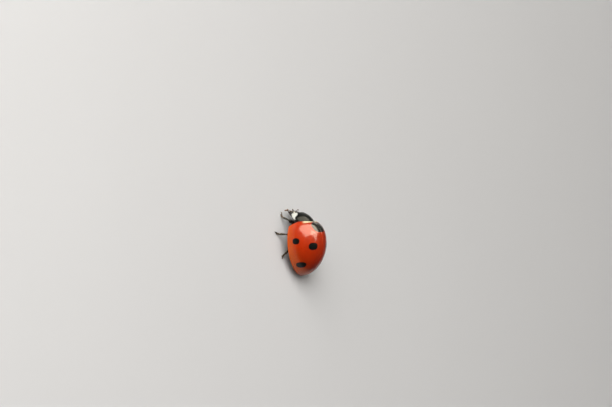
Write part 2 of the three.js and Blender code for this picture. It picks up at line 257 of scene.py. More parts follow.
# The animal's driving shapes
@dataclass(frozen=True)
class Dome:
    """Outer face of the wing cases; lengths are in one unit, shares have none."""

    length: object = 5.67
    half_width: object = 2.66
    height: object = 2.69
    widest_at: float = 0.4
    highest_at: float = 0.385
    shoulder: float = 0.732
    base_height: float = 0.657
    width_powers: tuple[float, float] = (2.36, 1.86)
    height_powers: tuple[float, float] = (3.0, 1.79)
    side_power: float = 1 / 1.1
    start_share: float = -0.45
    notch_turn: float = 0.07
    notch_share: float = 0.07
    shoulder_turn: float = 0.62
    shoulder_share: float = 0.066
    hollow_turn: float = 0.8
    hollow_share: float = 0.014
    lip_share: float = 0.075
    lip_drop: float = 0.055

    def base_share(self, turn: object) -> object:
        """Where a line of the wing cases begins.

        Args:
            turn: 0 at the seam to 1 at the margin.

        Returns:
            The share of the length, set back behind the scutellum and at the shoulder.
        """
        notch = self.notch_share * clamp01(1.0 - turn / self.notch_turn)
        corner = clamp01((turn - self.shoulder_turn) / (1.0 - self.shoulder_turn))
        shoulder = self.shoulder_share * corner ** 2.0
        hollow = self.hollow_share * sine(math.pi * clamp01(turn / self.hollow_turn))
        return notch + shoulder - hollow

    def point(self, share: object, turn: object) -> tuple:
        """Point on the outer face.

        Args:
            share: 0 at the base to 1 at the tip.
            turn: 0 at the seam to 1 at the left margin, negative on the right.

        Returns:
            Its x, y and z before the trunk is tilted.
        """
        start = self.base_share(size_of(turn))
        along = start + (1.0 - start) * share
        width = self.half_width * swell(along, self.widest_at, self.shoulder, self.width_powers)
        lip = 1.0 - self.lip_drop * most(1.0 - along / self.lip_share, 0.0) ** 2.0
        rise = swell(along, self.highest_at, self.base_height, self.height_powers)
        angle = turn * (math.pi / 2)
        x = width * signed_power(sine(angle), self.side_power)
        y = (along + self.start_share) * self.length
        return x, y, self.height * lip * rise * cosine(angle)

    def normal(self, share: object, turn: object, step: float = 1e-3) -> tuple:
        """Outward unit normal, from neighbouring points.

        Args:
            share: place along the wing cases.
            turn: place across them.
            step: how far the neighbours are.

        Returns:
            Its three parts.
        """
        s = least(share, 0.993)
        ahead, behind = self.point(s + step, turn), self.point(most(s - step, 0.0), turn)
        left, right = self.point(s, turn + step), self.point(s, turn - step)
        a = [p - q for p, q in zip(left, right)]
        b = [p - q for p, q in zip(ahead, behind)]
        n = [a[i - 2] * b[i - 1] - a[i - 1] * b[i - 2] for i in range(3)]
        size = (n[0] * n[0] + n[1] * n[1] + n[2] * n[2]) ** 0.5
        return tuple(part / size for part in n)

    def inset(self, share: object, turn: object, depth: object) -> tuple:
        """Point moved inward along the normal by a depth."""
        point, normal = self.point(share, turn), self.normal(share, turn)
        return tuple(p - n * depth for p, n in zip(point, normal))


@dataclass(frozen=True)
class Shield:
    """Outer face of the neck shield, each pair from its rear edge to its front edge."""

    crown_y: tuple[float, float] = (-2.585, -3.6)
    crown_z: tuple[float, float] = (1.5, 0.23)
    margin_x: tuple[float, float] = (1.43, 1.13)
    margin_y: tuple[float, float] = (-2.57, -3.48)
    margin_z: tuple[float, float] = (0.3, -0.38)
    lean: tuple[float, float] = (0.3, 1.0)
    bulges: tuple[float, float, float] = (0.1, 0.12, 0.04)
    corner: tuple[float, float] = (0.11, 0.07)

    def point(self, share: Array, turn: Array, inset: Array) -> Array:
        """Points of the shield or of a surface inside it.

        Args:
            share: 0 at the rear edge to 1 at the front edge.
            turn: -1 to 1 across, 1 at the left margin.
            inset: depth below the outer face.

        Returns:
            The points, before the trunk is tilted.
        """
        swelling = np.sin(np.pi * np.clip(share, 0, 1))
        crown_bulge, side_bulge, margin_bulge = self.bulges
        lean = lerp(*self.lean, share)
        depth = 1.15 * inset
        crown_y = lerp(*self.crown_y, share) - crown_bulge * swelling + depth * np.sin(lean)
        crown_z = lerp(*self.crown_z, share) + crown_bulge * swelling - depth * np.cos(lean)
        margin_x = lerp(*self.margin_x, share) + side_bulge * swelling - inset
        margin_z = lerp(*self.margin_z, share) + margin_bulge * swelling
        angle = turn * np.pi / 2
        up = np.abs(np.cos(angle)) ** 1.3
        round_ = clamp01((share - 0.72) / 0.28) ** 2.0 * clamp01((np.abs(turn) - 0.7) / 0.3) ** 2.0
        back, lift = self.corner
        x = (margin_x - 0.04 * round_) * signed_power(np.sin(angle), 1 / 1.1)
        y = lerp(lerp(*self.margin_y, share), crown_y, up) + back * round_
        return np.stack([x, y, lerp(margin_z, crown_z, up) + lift * round_], -1)


def tilted(points: Sequence, angle: float) -> Array:
    """Turns points about the x axis.

    Args:
        points: points or directions.
        angle: how far their front rises.

    Returns:
        The points, turned.
    """
    x, y, z = np.moveaxis(np.asarray(points, float), -1, 0)
    c, s = math.cos(angle), math.sin(angle)
    return np.stack([x, c * y + s * z, c * z - s * y], -1)


@dataclass(frozen=True)
class Stance:
    """How the trunk is held, and where the animal stands in the frame."""

    nose_up: float = math.radians(8.5)
    ride_height: float = 1.08
    shift: float = 0.0

    def trunk(self, points: Sequence) -> Array:
        """Returns points of the trunk, tilted, lifted and set in the frame."""
        return tilted(points, self.nose_up) + [0.0, self.shift, self.ride_height]

    def turned(self, directions: Sequence) -> Array:
        """Returns directions of the trunk, tilted with it."""
        return tilted(directions, self.nose_up)

    def ground(self, points: Sequence) -> Array:
        """Returns points given above the floor, set in the frame."""
        return np.asarray(points, float) + [0.0, self.shift, 0.0]


MID_HIP_Y = -1.12
DOME = Dome()
SHIELD = Shield()
GAP = 0.04
TIP_SHARES = (0.35, 0.95)


def stance_in_frame() -> Stance:
    """Returns the stance, its shift read from where the frame has the middle hips."""
    low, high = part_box("mid_coxa_left")
    return Stance(shift=(low.y + high.y) / 2 / MM - MID_HIP_Y)


# Meshes
def put(name: str, data: bpy.types.ID, place: Matrix | None = None) -> Piece:
    """Puts an object in the scene.

    Args:
        name: its name.
        data: its mesh, light or camera.
        place: where it stands, unless at the origin.

    Returns:
        The object.
    """
    made = bpy.data.objects.new(name, data)
    if place is not None:
        made.matrix_world = place
    bpy.context.scene.collection.objects.link(made)
    return made


@dataclass
class Form:
    """Points in millimetres, the faces between them, and values marked on the points."""

    points: Array
    quads: Array = field(default_factory=lambda: np.zeros((0, 4), int))
    tris: Array = field(default_factory=lambda: np.zeros((0, 3), int))
    marks: dict[str, Array] = field(default_factory=dict)

    def placed(self, move: Callable[[Array], Array]) -> "Form":
        """Returns the form with its points moved by a function."""
        return replace(self, points=move(self.points))

    def outward(self) -> "Form":
        """Turns the faces out of the volume that they close.

        Returns:
            The form, or one with its faces turned.
        """
        fans = [self.quads[:, [0, 1, 2]], self.quads[:, [0, 2, 3]], self.tris]
        a, b, c = np.moveaxis(self.points[np.concatenate(fans)], 1, 0)
        if np.einsum("ij,ij->", a, np.cross(b, c)) >= 0:
            return self
        return replace(self, quads=self.quads[:, ::-1], tris=self.tris[:, ::-1])

    def mirrored(self) -> "Form":
        """Returns the form's mirror image on the animal's other side, faces outward."""
        image = replace(self, points=self.points * [-1, 1, 1])
        return replace(image, quads=self.quads[:, ::-1], tris=self.tris[:, ::-1])

    def marked(self, **marks: Array) -> "Form":
        """Returns the form with more values marked on its points."""
        return replace(self, marks={**self.marks, **marks})

    def mesh(self, name: str) -> bpy.types.Mesh:
        """Makes the form a mesh in metres.

        Args:
            name: the mesh's name.

        Returns:
            The mesh, its marks as attributes.
        """
        made = bpy.data.meshes.new(name)
        faces = self.quads.tolist() + self.tris.tolist()
        made.from_pydata((self.points * MM).tolist(), [], faces)
        for mark, values in self.marks.items():
            kind, key = ("FLOAT", "value") if values.ndim == 1 else ("FLOAT_VECTOR", "vector")
            layer = made.attributes.new(mark, kind, "POINT")
            layer.data.foreach_set(key, values.astype(np.float32).ravel())
        made.polygons.foreach_set("use_smooth", np.ones(len(faces), bool))
        made.update()
        return made

    def source(self, name: str) -> Piece:
        """Returns the form as an object for Geometry Nodes to read, out of the render."""
        return put(name, self.mesh(name))


def joined(forms: Iterable[Form]) -> Form:
    """Joins forms into one, keeping the marks that they all have.

    Args:
        forms: the forms.

    Returns:
        One form with all their points and faces.
    """
    parts = list(forms)
    starts = np.cumsum([0] + [len(part.points) for part in parts[:-1]])
    shared = set.intersection(*(set(part.marks) for part in parts))
    return Form(
        np.concatenate([part.points for part in parts]),
        np.concatenate([part.quads + start for part, start in zip(parts, starts)]),
        np.concatenate([part.tris + start for part, start in zip(parts, starts)]),
        {mark: np.concatenate([part.marks[mark] for part in parts]) for mark in sorted(shared)},
    )


def loft(rings: Array, start: Array | None = None, end: Array | None = None) -> Form:
    """Closed form through rings of points, each end closed by a fan to a pole.

    Args:
        rings: rows of points, each row a closed ring.
        start: the first pole, or the middle of the first ring.
        end: the last pole, or the middle of the last ring.

    Returns:
        The form, marked with its shares along and round.
    """
    rows, columns = rings.shape[:2]
    index = np.arange(rows * columns).reshape(rows, columns)
    following = np.roll(index, -1, axis=1)
    quads = np.stack([index[:-1], following[:-1], following[1:], index[1:]], -1).reshape(-1, 4)
    first = np.full(columns, rows * columns)
    tris = np.concatenate([
        np.stack([first, following[0], index[0]], -1),
        np.stack([first + 1, index[-1], following[-1]], -1),
    ])
    poles = [rings[0].mean(0) if start is None else start, rings[-1].mean(0) if end is None else end]
    points = np.concatenate([rings.reshape(-1, 3), poles])
    along = np.append(np.repeat(np.linspace(0, 1, rows), columns), [0.0, 1.0])
    round_ = np.append(np.tile(np.linspace(0, 1, columns), rows), [0.5, 0.5])
    return Form(points, quads, tris, {"along": along, "round": round_}).outward()


def plate(rows: int, columns: int) -> tuple[Array, Array, Array, Array]:
    """Faces of a closed plate: an outer and an inner patch that share their edge.

    Args:
        rows: rows of points in each patch.
        columns: columns of points in each patch.

    Returns:
        The faces, and for each point its row, its column and whether it is an inner one.
    """
    outer = np.arange(rows * columns).reshape(rows, columns)
    inner = outer.copy()
    count = (rows - 2) * (columns - 2)
    inner[1:-1, 1:-1] = rows * columns + np.arange(count).reshape(rows - 2, columns - 2)
    quads = [np.stack([g[:-1, :-1], g[:-1, 1:], g[1:, 1:], g[1:, :-1]], -1).reshape(-1, 4)
             for g in (outer, inner)]
    row, column = np.divmod(np.arange(rows * columns), columns)
    inside = inner[1:-1, 1:-1].ravel() - rows * columns
    inner_row, inner_column = inside // (columns - 2) + 1, inside % (columns - 2) + 1
    under = np.repeat([False, True], [rows * columns, count])
    faces = np.concatenate([quads[0], quads[1][:, ::-1]])
    return faces, np.append(row, inner_row), np.append(column, inner_column), under


def through(stations: Sequence[float], values: Sequence, at: Array) -> Array:
    """Smooth curve through values given at stations.

    Args:
        stations: rising places, from 0 to 1.
        values: a number or a point at each.
        at: the places to read.

    Returns:
        The values there.
    """
    x, v = np.asarray(stations, float), np.asarray(values, float)
    slope = np.gradient(v, x, axis=0)
    i = np.clip(np.searchsorted(x, at, side="right") - 1, 0, len(x) - 2)
    h = x[i + 1] - x[i]
    t = (at - x[i]) / h
    if v.ndim > 1:
        t, h = t[:, None], h[:, None]
    rise = t * t * (3 - 2 * t)
    bend_in, bend_out = t * (1 - t) ** 2, t * t * (t - 1)
    return v[i] + (v[i + 1] - v[i]) * rise + h * (slope[i] * bend_in + slope[i + 1] * bend_out)


def unit(vectors: Array) -> Array:
    """Returns vectors made one long."""
    vectors = np.asarray(vectors, float)
    return vectors / np.linalg.norm(vectors, axis=-1, keepdims=True)


def spindle(path: Array, wide: Array, high: Array, up: Sequence[float],
            sides: int = 24, power: float = 1.0) -> Form:
    """Closed round body along a path.

    Args:
        path: the points that it follows.
        wide: half width at each.
        high: half height at each, toward `up`.
        up: a direction that the heights lean to.
        sides: points round the section.
        power: below 1 squares the section off.

    Returns:
        The form, its ends closed on the path's ends.
    """
    ahead = unit(np.gradient(path, axis=0))
    across = unit(np.cross(ahead, np.asarray(up, float)))
    above = np.cross(across, ahead)
    angle = np.linspace(0, 2 * np.pi, sides, endpoint=False)
    c, s = signed_power(np.cos(angle), power), signed_power(np.sin(angle), power)
    rings = (path[:, None] + across[:, None] * (wide[:, None] * c)[..., None]
             + above[:, None] * (high[:, None] * s)[..., None])
    return loft(rings, path[0], path[-1])


def rounded(share: Array, start: float, end: float) -> Array:
    """Rounds a body off at its two ends.

    Args:
        share: places along it, 0 to 1.
        start: share over which it swells.
        end: share over which it closes.

    Returns:
        A factor for its girth.
    """
    near = np.clip(share / start, 0, 1) if start else np.ones_like(share)
    far = np.clip((1 - share) / end, 0, 1) if end else np.ones_like(share)
    return np.sqrt(1 - (1 - near) ** 2) * np.sqrt(1 - (1 - far) ** 2) * 0.98 + 0.02


def eased(count: int, start: float = 0.0, end: float = 1.0) -> Array:
    """Returns steps that lie closer together toward both ends."""
    return start + (end - start) * (1 - np.cos(np.linspace(0, np.pi, count))) / 2


# Geometry Nodes
class GeometryTool:
    """A Geometry Nodes tree with named inputs that turns a source mesh into a plain mesh."""

    def __init__(self, name: str, inputs: dict[str, float | int | str]) -> None:
        """Starts the tree.

        Args:
            name: the tree's name.
            inputs: its inputs between the geometry and the finish, each a number or "Object".
        """
        self.tree = bpy.data.node_groups.new(name, "GeometryNodeTree")
        self.graph = Graph(self.tree)
        face = self.tree.interface
        for label, value in {"Geometry": "Geometry", **inputs, "Finish": "Material"}.items():
            kind = value if isinstance(value, str) else type(value).__name__.capitalize()
            socket = face.new_socket(name=label, in_out="INPUT", socket_type="NodeSocket" + kind)
            if not isinstance(value, str):
                socket.default_value = value
        face.new_socket(name="Geometry", in_out="OUTPUT", socket_type="NodeSocketGeometry")
        self.start = self.graph.node("NodeGroupInput")

    def number(self, label: str) -> Term:
        """Returns a named input as a number for formulas."""
        return self.graph.term(self.start.outputs[label])

    def attribute(self, label: str, kind: str) -> Socket:
        """Returns a value marked on the points."""
        made = self.graph.node("GeometryNodeInputNamedAttribute", {"Name": label}, data_type=kind)
        return next(o for o in made.outputs if o.enabled and o.name == "Attribute")

    def end(self, geometry: Socket) -> None:
        """Closes the tree: instances made real, and the finish set.

        Args:
            geometry: what the tree has made.
        """
        real = self.graph.node("GeometryNodeRealizeInstances", {0: geometry})
        dressed = self.graph.node("GeometryNodeSetMaterial", {
            "Geometry": real.outputs[0], "Material": self.start.outputs["Finish"]})
        self.graph.node("NodeGroupOutput", {0: dressed.outputs[0]})

    def run(self, name: str, source: Piece, **values: object) -> Piece:
        """Runs the tree on a source and keeps the result as a plain mesh.

        Args:
            name: the piece's name.
            source: the object to work on, which is used up.
            **values: inputs by name, a blank written as _.

        Returns:
            The piece.
        """
        modifier = source.modifiers.new("Tool", "NODES")
        modifier.node_group = self.tree
        for item in self.tree.interface.items_tree:
            key = item.name.replace(" ", "_")
            if item.in_out == "INPUT" and key in values:
                modifier[item.identifier] = values[key]
        bpy.context.view_layer.update()
        graph = bpy.context.evaluated_depsgraph_get()
        mesh = bpy.data.meshes.new_from_object(source.evaluated_get(graph), depsgraph=graph)
        source.modifiers.remove(modifier)
        bpy.data.objects.remove(source)
        mesh.name = name
        mesh.polygons.foreach_set("use_smooth", np.ones(len(mesh.polygons), bool))
        return put(name, mesh)


class DomeTool(GeometryTool):
    """Lays a marked plate on the rule of the wing cases."""

    def __init__(self) -> None:
        """Builds the tree."""
        super().__init__("wing_case_rule", {
            "Length": DOME.length * MM, "Half Width": DOME.half_width * MM,
            "Dome Height": DOME.height * MM, "Seam Gap": 0.006 * MM, "Seam Round": 0.004 * MM,
            "Nose Up": 0.0, "Ride Height": 0.0, "Shift": 0.0})
        graph = self.graph
        share, turn, inset, drop = (
            graph.term(self.attribute(label, "FLOAT")) for label in ("share", "turn", "inset", "drop"))
        dome = replace(DOME, length=self.number("Length"), half_width=self.number("Half Width"),
                       height=self.number("Dome Height"))
        x, y, z = dome.inset(share, turn, inset)
        x = (x + (x * x + self.number("Seam Round") ** 2.0) ** 0.5) * 0.5 + self.number("Seam Gap") * 0.5
        z = z - drop
        tilt = self.number("Nose Up")
        c, s = cosine(tilt), sine(tilt)
        place = graph.vector(x, c * y + s * z + self.number("Shift"),
                             c * z - s * y + self.number("Ride Height"))
        laid = graph.node("GeometryNodeSetPosition", {
            "Geometry": self.start.outputs["Geometry"], "Position": place})
        merged = graph.node("GeometryNodeMergeByDistance", {
            "Geometry": laid.outputs[0], "Distance": 0.0004 * MM})
        self.end(merged.outputs[0])


class CopyTool(GeometryTool):
    """Sets a copy of a shape on each point, turned to its aim and scaled to its size."""

    def __init__(self) -> None:
        """Builds the tree."""
        super().__init__("copies_on_points", {"Shape": "Object"})
        graph = self.graph
        aimed = graph.node("FunctionNodeAlignRotationToVector", {
            "Vector": self.attribute("aim", "FLOAT_VECTOR")}, axis="Z")
        turned = graph.node("FunctionNodeAlignRotationToVector", {
            "Rotation": aimed.outputs[0],
            "Vector": self.attribute("side", "FLOAT_VECTOR")}, axis="X", pivot_axis="Z")
        shape = graph.node("GeometryNodeObjectInfo", {"Object": self.start.outputs["Shape"]})
        copies = graph.node("GeometryNodeInstanceOnPoints", {
            "Points": self.start.outputs["Geometry"],
            "Instance": shape.outputs["Geometry"],
            "Rotation": turned.outputs[0],
            "Scale": self.attribute("size", "FLOAT_VECTOR")})
        self.end(copies.outputs[0])


class SetaeTool(GeometryTool):
    """Scatters fine hairs over a skin, denser where it is marked so, combed along its comb."""

    def __init__(self) -> None:
        """Builds the tree."""
        super().__init__("setae_on_skin", {
            "Hair": "Object", "Density": 1.0, "Length": 0.08 * MM, "Thickness": 0.006 * MM,
            "Lean": 1.2, "Seed": 1})
        graph, start = self.graph, self.start
        amount = self.number("Density") * graph.term(self.attribute("hair", "FLOAT"))
        spread = graph.node("GeometryNodeDistributePointsOnFaces", {
            "Mesh": start.outputs["Geometry"], "Density": amount,
            "Seed": start.outputs["Seed"]}, distribute_method="RANDOM")
        normal = graph.split(spread.outputs["Normal"])
        comb = graph.split(self.attribute("comb", "FLOAT_VECTOR"))
        lean = self.number("Lean")
        stray = [graph.node("FunctionNodeRandomValue", {
            2: low, 3: high, "Seed": start.outputs["Seed"]}, data_type="FLOAT").outputs[1]
            for low, high in ((-0.22, 0.2), (-0.2, 0.22), (0.65, 1.15))]
        tilt = [n + lean * c for n, c in zip(normal, comb)]
        aim = graph.vector(tilt[0] + graph.term(stray[0]), tilt[1] + graph.term(stray[1]), tilt[2])
        turned = graph.node("FunctionNodeAlignRotationToVector", {"Vector": aim}, axis="Z")
        thick = self.number("Thickness")
        size = graph.vector(thick, thick, self.number("Length") * graph.term(stray[2]))
        shape = graph.node("GeometryNodeObjectInfo", {"Object": start.outputs["Hair"]})
        copies = graph.node("GeometryNodeInstanceOnPoints", {
            "Points": spread.outputs["Points"], "Instance": shape.outputs["Geometry"],
            "Rotation": turned.outputs[0], "Scale": size})
        real = graph.node("GeometryNodeRealizeInstances", {0: copies.outputs[0]})
        root = graph.split(self.attribute("root_uv", "FLOAT_VECTOR"))
        patch = graph.split(self.attribute("patch", "FLOAT_VECTOR"))
        place = graph.vector(root[0] + patch[0], root[1] + patch[1], 0.0)
        mapped = graph.node("GeometryNodeStoreNamedAttribute", {
            "Geometry": real.outputs[0], "Name": "OFBake", "Value": place},
            data_type="FLOAT2", domain="CORNER")
        geometry = mapped.outputs[0]
        for label in ("root_uv", "patch", "comb", "hair"):
            geometry = graph.node("GeometryNodeRemoveAttribute", {
                "Geometry": geometry, "Name": label}).outputs[0]
        self.end(geometry)


class Tools:
    """The Geometry Nodes trees and the small shapes that they copy."""

    def __init__(self) -> None:
        """Builds the trees and the shapes."""
        self.dome = DomeTool()
        self.copy = CopyTool()
        self.setae = SetaeTool()
        self.hair = self.hair_shape().source("hair_shape")
        self.facet = self.facet_shape().source("facet_shape")
        self.joint = self.joint_shape().source("joint_shape")

    @staticmethod
    def hair_shape() -> Form:
        """Shapes one hair, 1 m long and thick, slightly bent.

        Returns:
            The hair, with its patch of the coat map.
        """
        heights = np.array([-0.06, 0.35, 0.75]) / MM
        bend = np.array([0.0, 1.2, 4.5])
        radii = np.array([0.5, 0.42, 0.22]) / MM
        angle = np.arange(3) * 2 * np.pi / 3
        rings = np.stack([
            radii[:, None] * np.cos(angle) + bend[:, None] / MM,
            radii[:, None] * np.sin(angle),
            np.repeat(heights[:, None], 3, 1)], -1)
        form = loft(rings, end=np.array([9.0, 0.0, 1.0]) / MM)
        patch = np.stack([form.marks["round"], form.marks["along"], form.marks["round"] * 0], -1)
        form.marks = {"patch": patch * 0.003}
        return form

    @staticmethod
    def facet_shape() -> Form:
        """Shapes one facet of an eye, a low six-sided lens 1 m across.

        Returns:
            The facet.
        """
        angle = np.arange(6) * np.pi / 3
        ring = np.stack([np.cos(angle), np.sin(angle), angle * 0], -1) * 0.5
        rings = np.stack([ring + [0, 0, -0.12], ring, ring * 0.68 + [0, 0, 0.2]]) / MM
        form = loft(rings, end=np.array([0.0, 0.0, 0.29]) / MM)
        form.marks = {}
        return form

    @staticmethod
    def joint_shape() -> Form:
        """Shapes one joint of a feeler, 1 m long and of radius 1 m.

        Returns:
            The joint, from z = 0.
        """
        share = np.linspace(0, 1, 11)
        radius = through([0, 0.12, 0.55, 0.85, 1], [0.62, 0.78, 1.0, 0.97, 0.7], share)
        path = np.stack([share * 0, share * 0, share], -1) / MM
        radius = radius * rounded(share, 0.06, 0.12) / MM
        form = spindle(path, radius, radius, (0, 1, 0), sides=18)
        form.marks = {}
        return form

    def clear(self) -> None:
        """Removes the small shapes once all copies are made."""
        for shape in (self.hair, self.facet, self.joint):
            bpy.data.objects.remove(shape)

    def feeler(self, name: str, path: Array, lengths: Sequence[float],
               radii: Sequence[float], finish: Material) -> Piece:
        """Makes a jointed feeler along a path.

        Args:
            name: the piece's name.
            path: its middle line, in millimetres.
            lengths: relative length of each joint.
            radii: radius of each joint.
            finish: its material.

        Returns:
            The piece.
        """
        steps = np.linalg.norm(np.diff(path, axis=0), axis=1)
        run = np.append(0, np.cumsum(steps))
        ends = np.append(0, np.cumsum(lengths)) / sum(lengths) * run[-1]
        knots = np.stack([np.interp(ends, run, path[:, i]) for i in range(3)], -1)
        span = np.diff(knots, axis=0)
        long = np.linalg.norm(span, axis=1)
        thick = np.asarray(radii, float)
        marks = {"aim": span, "side": np.tile([0.0, 0.0, 1.0], (len(span), 1)),
                 "size": np.stack([thick, thick, long * 1.06], -1) * MM}
        points = Form(knots[:-1], marks=marks).source(name + "_points")
        return self.copy.run(name, points, Shape=self.joint, Finish=finish)


# Materials
def linear(red: int, green: int, blue: int) -> Colour:
    """Returns a screen colour of 0 to 255 as scene-linear light."""
    share = [value / 255 for value in (red, green, blue)]
    return tuple(v / 12.92 if v <= 0.04045 else ((v + 0.055) / 1.055) ** 2.4 for v in share)


def shader_group(name: str, inputs: dict[str, float | str], outputs: Sequence[str],
                 body: Callable[[Graph, dict], Sequence[Term]]) -> bpy.types.NodeTree:
    """Builds a node group that materials share.

    Args:
        name: the group's name.
        inputs: a first value for each number, or "vector".
        outputs: names of the numbers that it gives.
        body: makes the results from the graph and the inputs.

    Returns:
        The group's tree.
    """
    tree = bpy.data.node_groups.new(name, "ShaderNodeTree")
    for label, value in inputs.items():
        kind = "NodeSocketVector" if value == "vector" else "NodeSocketFloat"
        socket = tree.interface.new_socket(name=label, in_out="INPUT", socket_type=kind)
        if value != "vector":
            socket.default_value = value
    for label in outputs:
        tree.interface.new_socket(name=label, in_out="OUTPUT", socket_type="NodeSocketFloat")
    graph = Graph(tree)
    start = graph.node("NodeGroupInput")
    given = {label: start.outputs[label] if value == "vector" else graph.term(start.outputs[label])
             for label, value in inputs.items()}
    graph.node("NodeGroupOutput", dict(zip(outputs, body(graph, given))))
    return tree


def noise(graph: Graph, place: Socket, scale: object, detail: float = 3.0) -> Term:
    """Returns smooth noise from 0 to 1 at a scale, in waves to the millimetre."""
    made = graph.node("ShaderNodeTexNoise", {"Vector": place, "Scale": scale, "Detail": detail})
    return graph.term(made.outputs["Fac"])


def pitting(graph: Graph, given: dict) -> tuple[Term, Term]:
    """Fine round pits over a smooth shell.

    Args:
        graph: the group's graph.
        given: its inputs.

    Returns:
        The surface's height, and how deep in a pit a place is.
    """
    cells = graph.node("ShaderNodeTexVoronoi", {
        "Vector": given["Place"], "Scale": given["Pits"], "Randomness": 0.75})
    away = graph.term(cells.outputs["Distance"])
    pit = 1.0 - ramp(away / given["Pit Size"], 0.35, 1.0)
    grain = noise(graph, given["Place"], given["Pits"] * 5.0, 2.0)
    return (grain - 0.5) * given["Grain"] - pit, pit


def mottling(graph: Graph, given: dict) -> tuple[Term]:
    """Uneven depth of colour.

    Args:
        graph: the group's graph.
        given: its inputs.

    Returns:
        A factor round 1.
    """
    broad = noise(graph, given["Place"], given["Scale"])
    fine = noise(graph, given["Place"], given["Scale"] * 6.0)
    return (1.0 + (broad * 0.7 + fine * 0.3 - 0.5) * given["Contrast"],)


def blot(graph: Graph, given: dict) -> tuple[Term]:
    """A blot with a slightly uneven edge.

    Args:
        graph: the group's graph.
        given: its inputs.

    Returns:
        1 inside it and 0 outside.
    """
    across, along = given["Across"] / given["Half Across"], given["Along"] / given["Half Along"]
    reach = (size_of(across) ** 2.3 + size_of(along) ** 2.3) ** (1 / 2.3)
    edge = reach + (given["Noise"] - 0.5) * given["Wobble"]
    return (1.0 - ramp(edge, 1.0 - given["Softness"], 1.0 + given["Softness"]),)


class Groups:
    """Node groups that the finishes share."""

    def __init__(self) -> None:
        """Builds the groups."""
        self.pits = shader_group("shell_pitting", {
            "Place": "vector", "Pits": 12.0, "Pit Size": 0.3, "Grain": 0.2}, ["Height", "Pit"], pitting)
        self.mottle = shader_group("shell_mottling", {
            "Place": "vector", "Scale": 1.0, "Contrast": 0.3}, ["Factor"], mottling)
        self.blot = shader_group("shell_blot", {
            "Across": 0.0, "Along": 0.0, "Half Across": 0.3, "Half Along": 0.3, "Noise": 0.5,
            "Wobble": 0.2, "Softness": 0.05}, ["Mask"], blot)


class Paint(Graph):
    """A material under construction."""

    def __init__(self, name: str, groups: Groups, **sockets: object) -> None:
        """Starts the material.

        Args:
            name: its name.
            groups: the shared node groups.
            **sockets: constants for the shader's own sockets, a blank written as _.
        """
        self.material = bpy.data.materials.new(name)
        self.material.use_nodes = True
        super().__init__(self.material.node_tree)
        self.groups = groups
        self.shader = self.tree.nodes["Principled BSDF"]
        for key, value in sockets.items():
            self.shader.inputs[key.replace("_", " ")].default_value = value
        place = self.node("ShaderNodeTexCoord").outputs["Object"]
        scaled = self.node("ShaderNodeVectorMath", {0: place, "Scale": 1 / MM}, operation="SCALE")
        self.place = scaled.outputs[0]
        self.x, self.y, self.z = self.split(self.place)

    def group(self, tree: bpy.types.NodeTree, **inputs: object) -> bpy.types.Node:
        """Places a shared group.

        Args:
            tree: the group.
            **inputs: its values, a blank written as _.

        Returns:
            The node.
        """
        named = {key.replace("_", " "): value for key, value in inputs.items()}
        made = self.tree.nodes.new("ShaderNodeGroup")
        made.node_tree = tree
        for key, value in named.items():
            self.feed(made.inputs[key], value)
        return made

    def mottle(self, scale: float, contrast: float) -> Term:
        """Returns a factor round 1 that varies over the surface."""
        made = self.group(self.groups.mottle, Place=self.place, Scale=scale, Contrast=contrast)
        return self.term(made.outputs[0])

    def mix(self, factor: object, first: object, second: object) -> Socket:
        """Mixes two colours.

        Args:
            factor: share of the second.
            first: a colour or a socket.
            second: another.

        Returns:
            The mix.
        """
        colours = [(*c, 1.0) if isinstance(c, tuple) else c for c in (first, second)]
        made = self.node("ShaderNodeMix", {0: factor, 6: colours[0], 7: colours[1]},
                         data_type="RGBA")
        return made.outputs[2]

    def shade(self, colour: object, factor: Term) -> Socket:
        """Makes a colour lighter or darker.

        Args:
            colour: a colour or a socket.
            factor: what it is multiplied by.

        Returns:
            The new colour.
        """
        grey = self.vector(factor, factor, factor)
        colour = (*colour, 1.0) if isinstance(colour, tuple) else colour
        made = self.node("ShaderNodeMix", {0: 1.0, 6: colour, 7: grey}, data_type="RGBA",
                         blend_type="MULTIPLY")
        return made.outputs[2]

    def pits(self, per_mm: float, size: float, grain: float, depth: float) -> Term:
        """Roughens the surface with pits.

        Args:
            per_mm: pits along a millimetre.
            size: a pit's radius as a share of their spacing.
            grain: height of the fine grain beside the pits' depth of 1.
            depth: the pits' depth in millimetres.

        Returns:
            How deep in a pit a place is.
        """
        made = self.group(self.groups.pits, Place=self.place, Pits=per_mm, Pit_Size=size, Grain=grain)
        bump = self.node("ShaderNodeBump", {"Height": made.outputs[0], "Distance": depth * MM})
        self.feed(self.shader.inputs["Normal"], bump.outputs[0])
        return self.term(made.outputs[1])

    def colour(self, value: object) -> None:
        """Sets the base colour."""
        self.feed(self.shader.inputs["Base Color"], value)

    def roughness(self, value: object) -> None:
        """Sets the roughness."""
        self.feed(self.shader.inputs["Roughness"], value)

    def blot(self, middle: Sequence[float], axes: Sequence[Sequence[float]], halves: Sequence[float],
             uneven: Term, wobble: float, softness: float) -> Term:
        """Marks a blot, the same on both sides.

        Args:
            middle: its middle on the left side.
            axes: its directions across and along.
            halves: its half sizes across and along.
            uneven: noise that bends its edge.
            wobble: how far the noise bends it.
            softness: how soft the edge is.

        Returns:
            1 inside it and 0 outside.
        """
        x, y, z = (term - float(m) for term, m in zip((size_of(self.x), self.y, self.z), middle))
        across, along = (x * float(a) + y * float(b) + z * float(c) for a, b, c in axes)
        made = self.group(self.groups.blot, Across=across, Along=along, Half_Across=halves[0],
                          Half_Along=halves[1], Noise=uneven, Wobble=wobble, Softness=softness)
        return self.term(made.outputs[0])


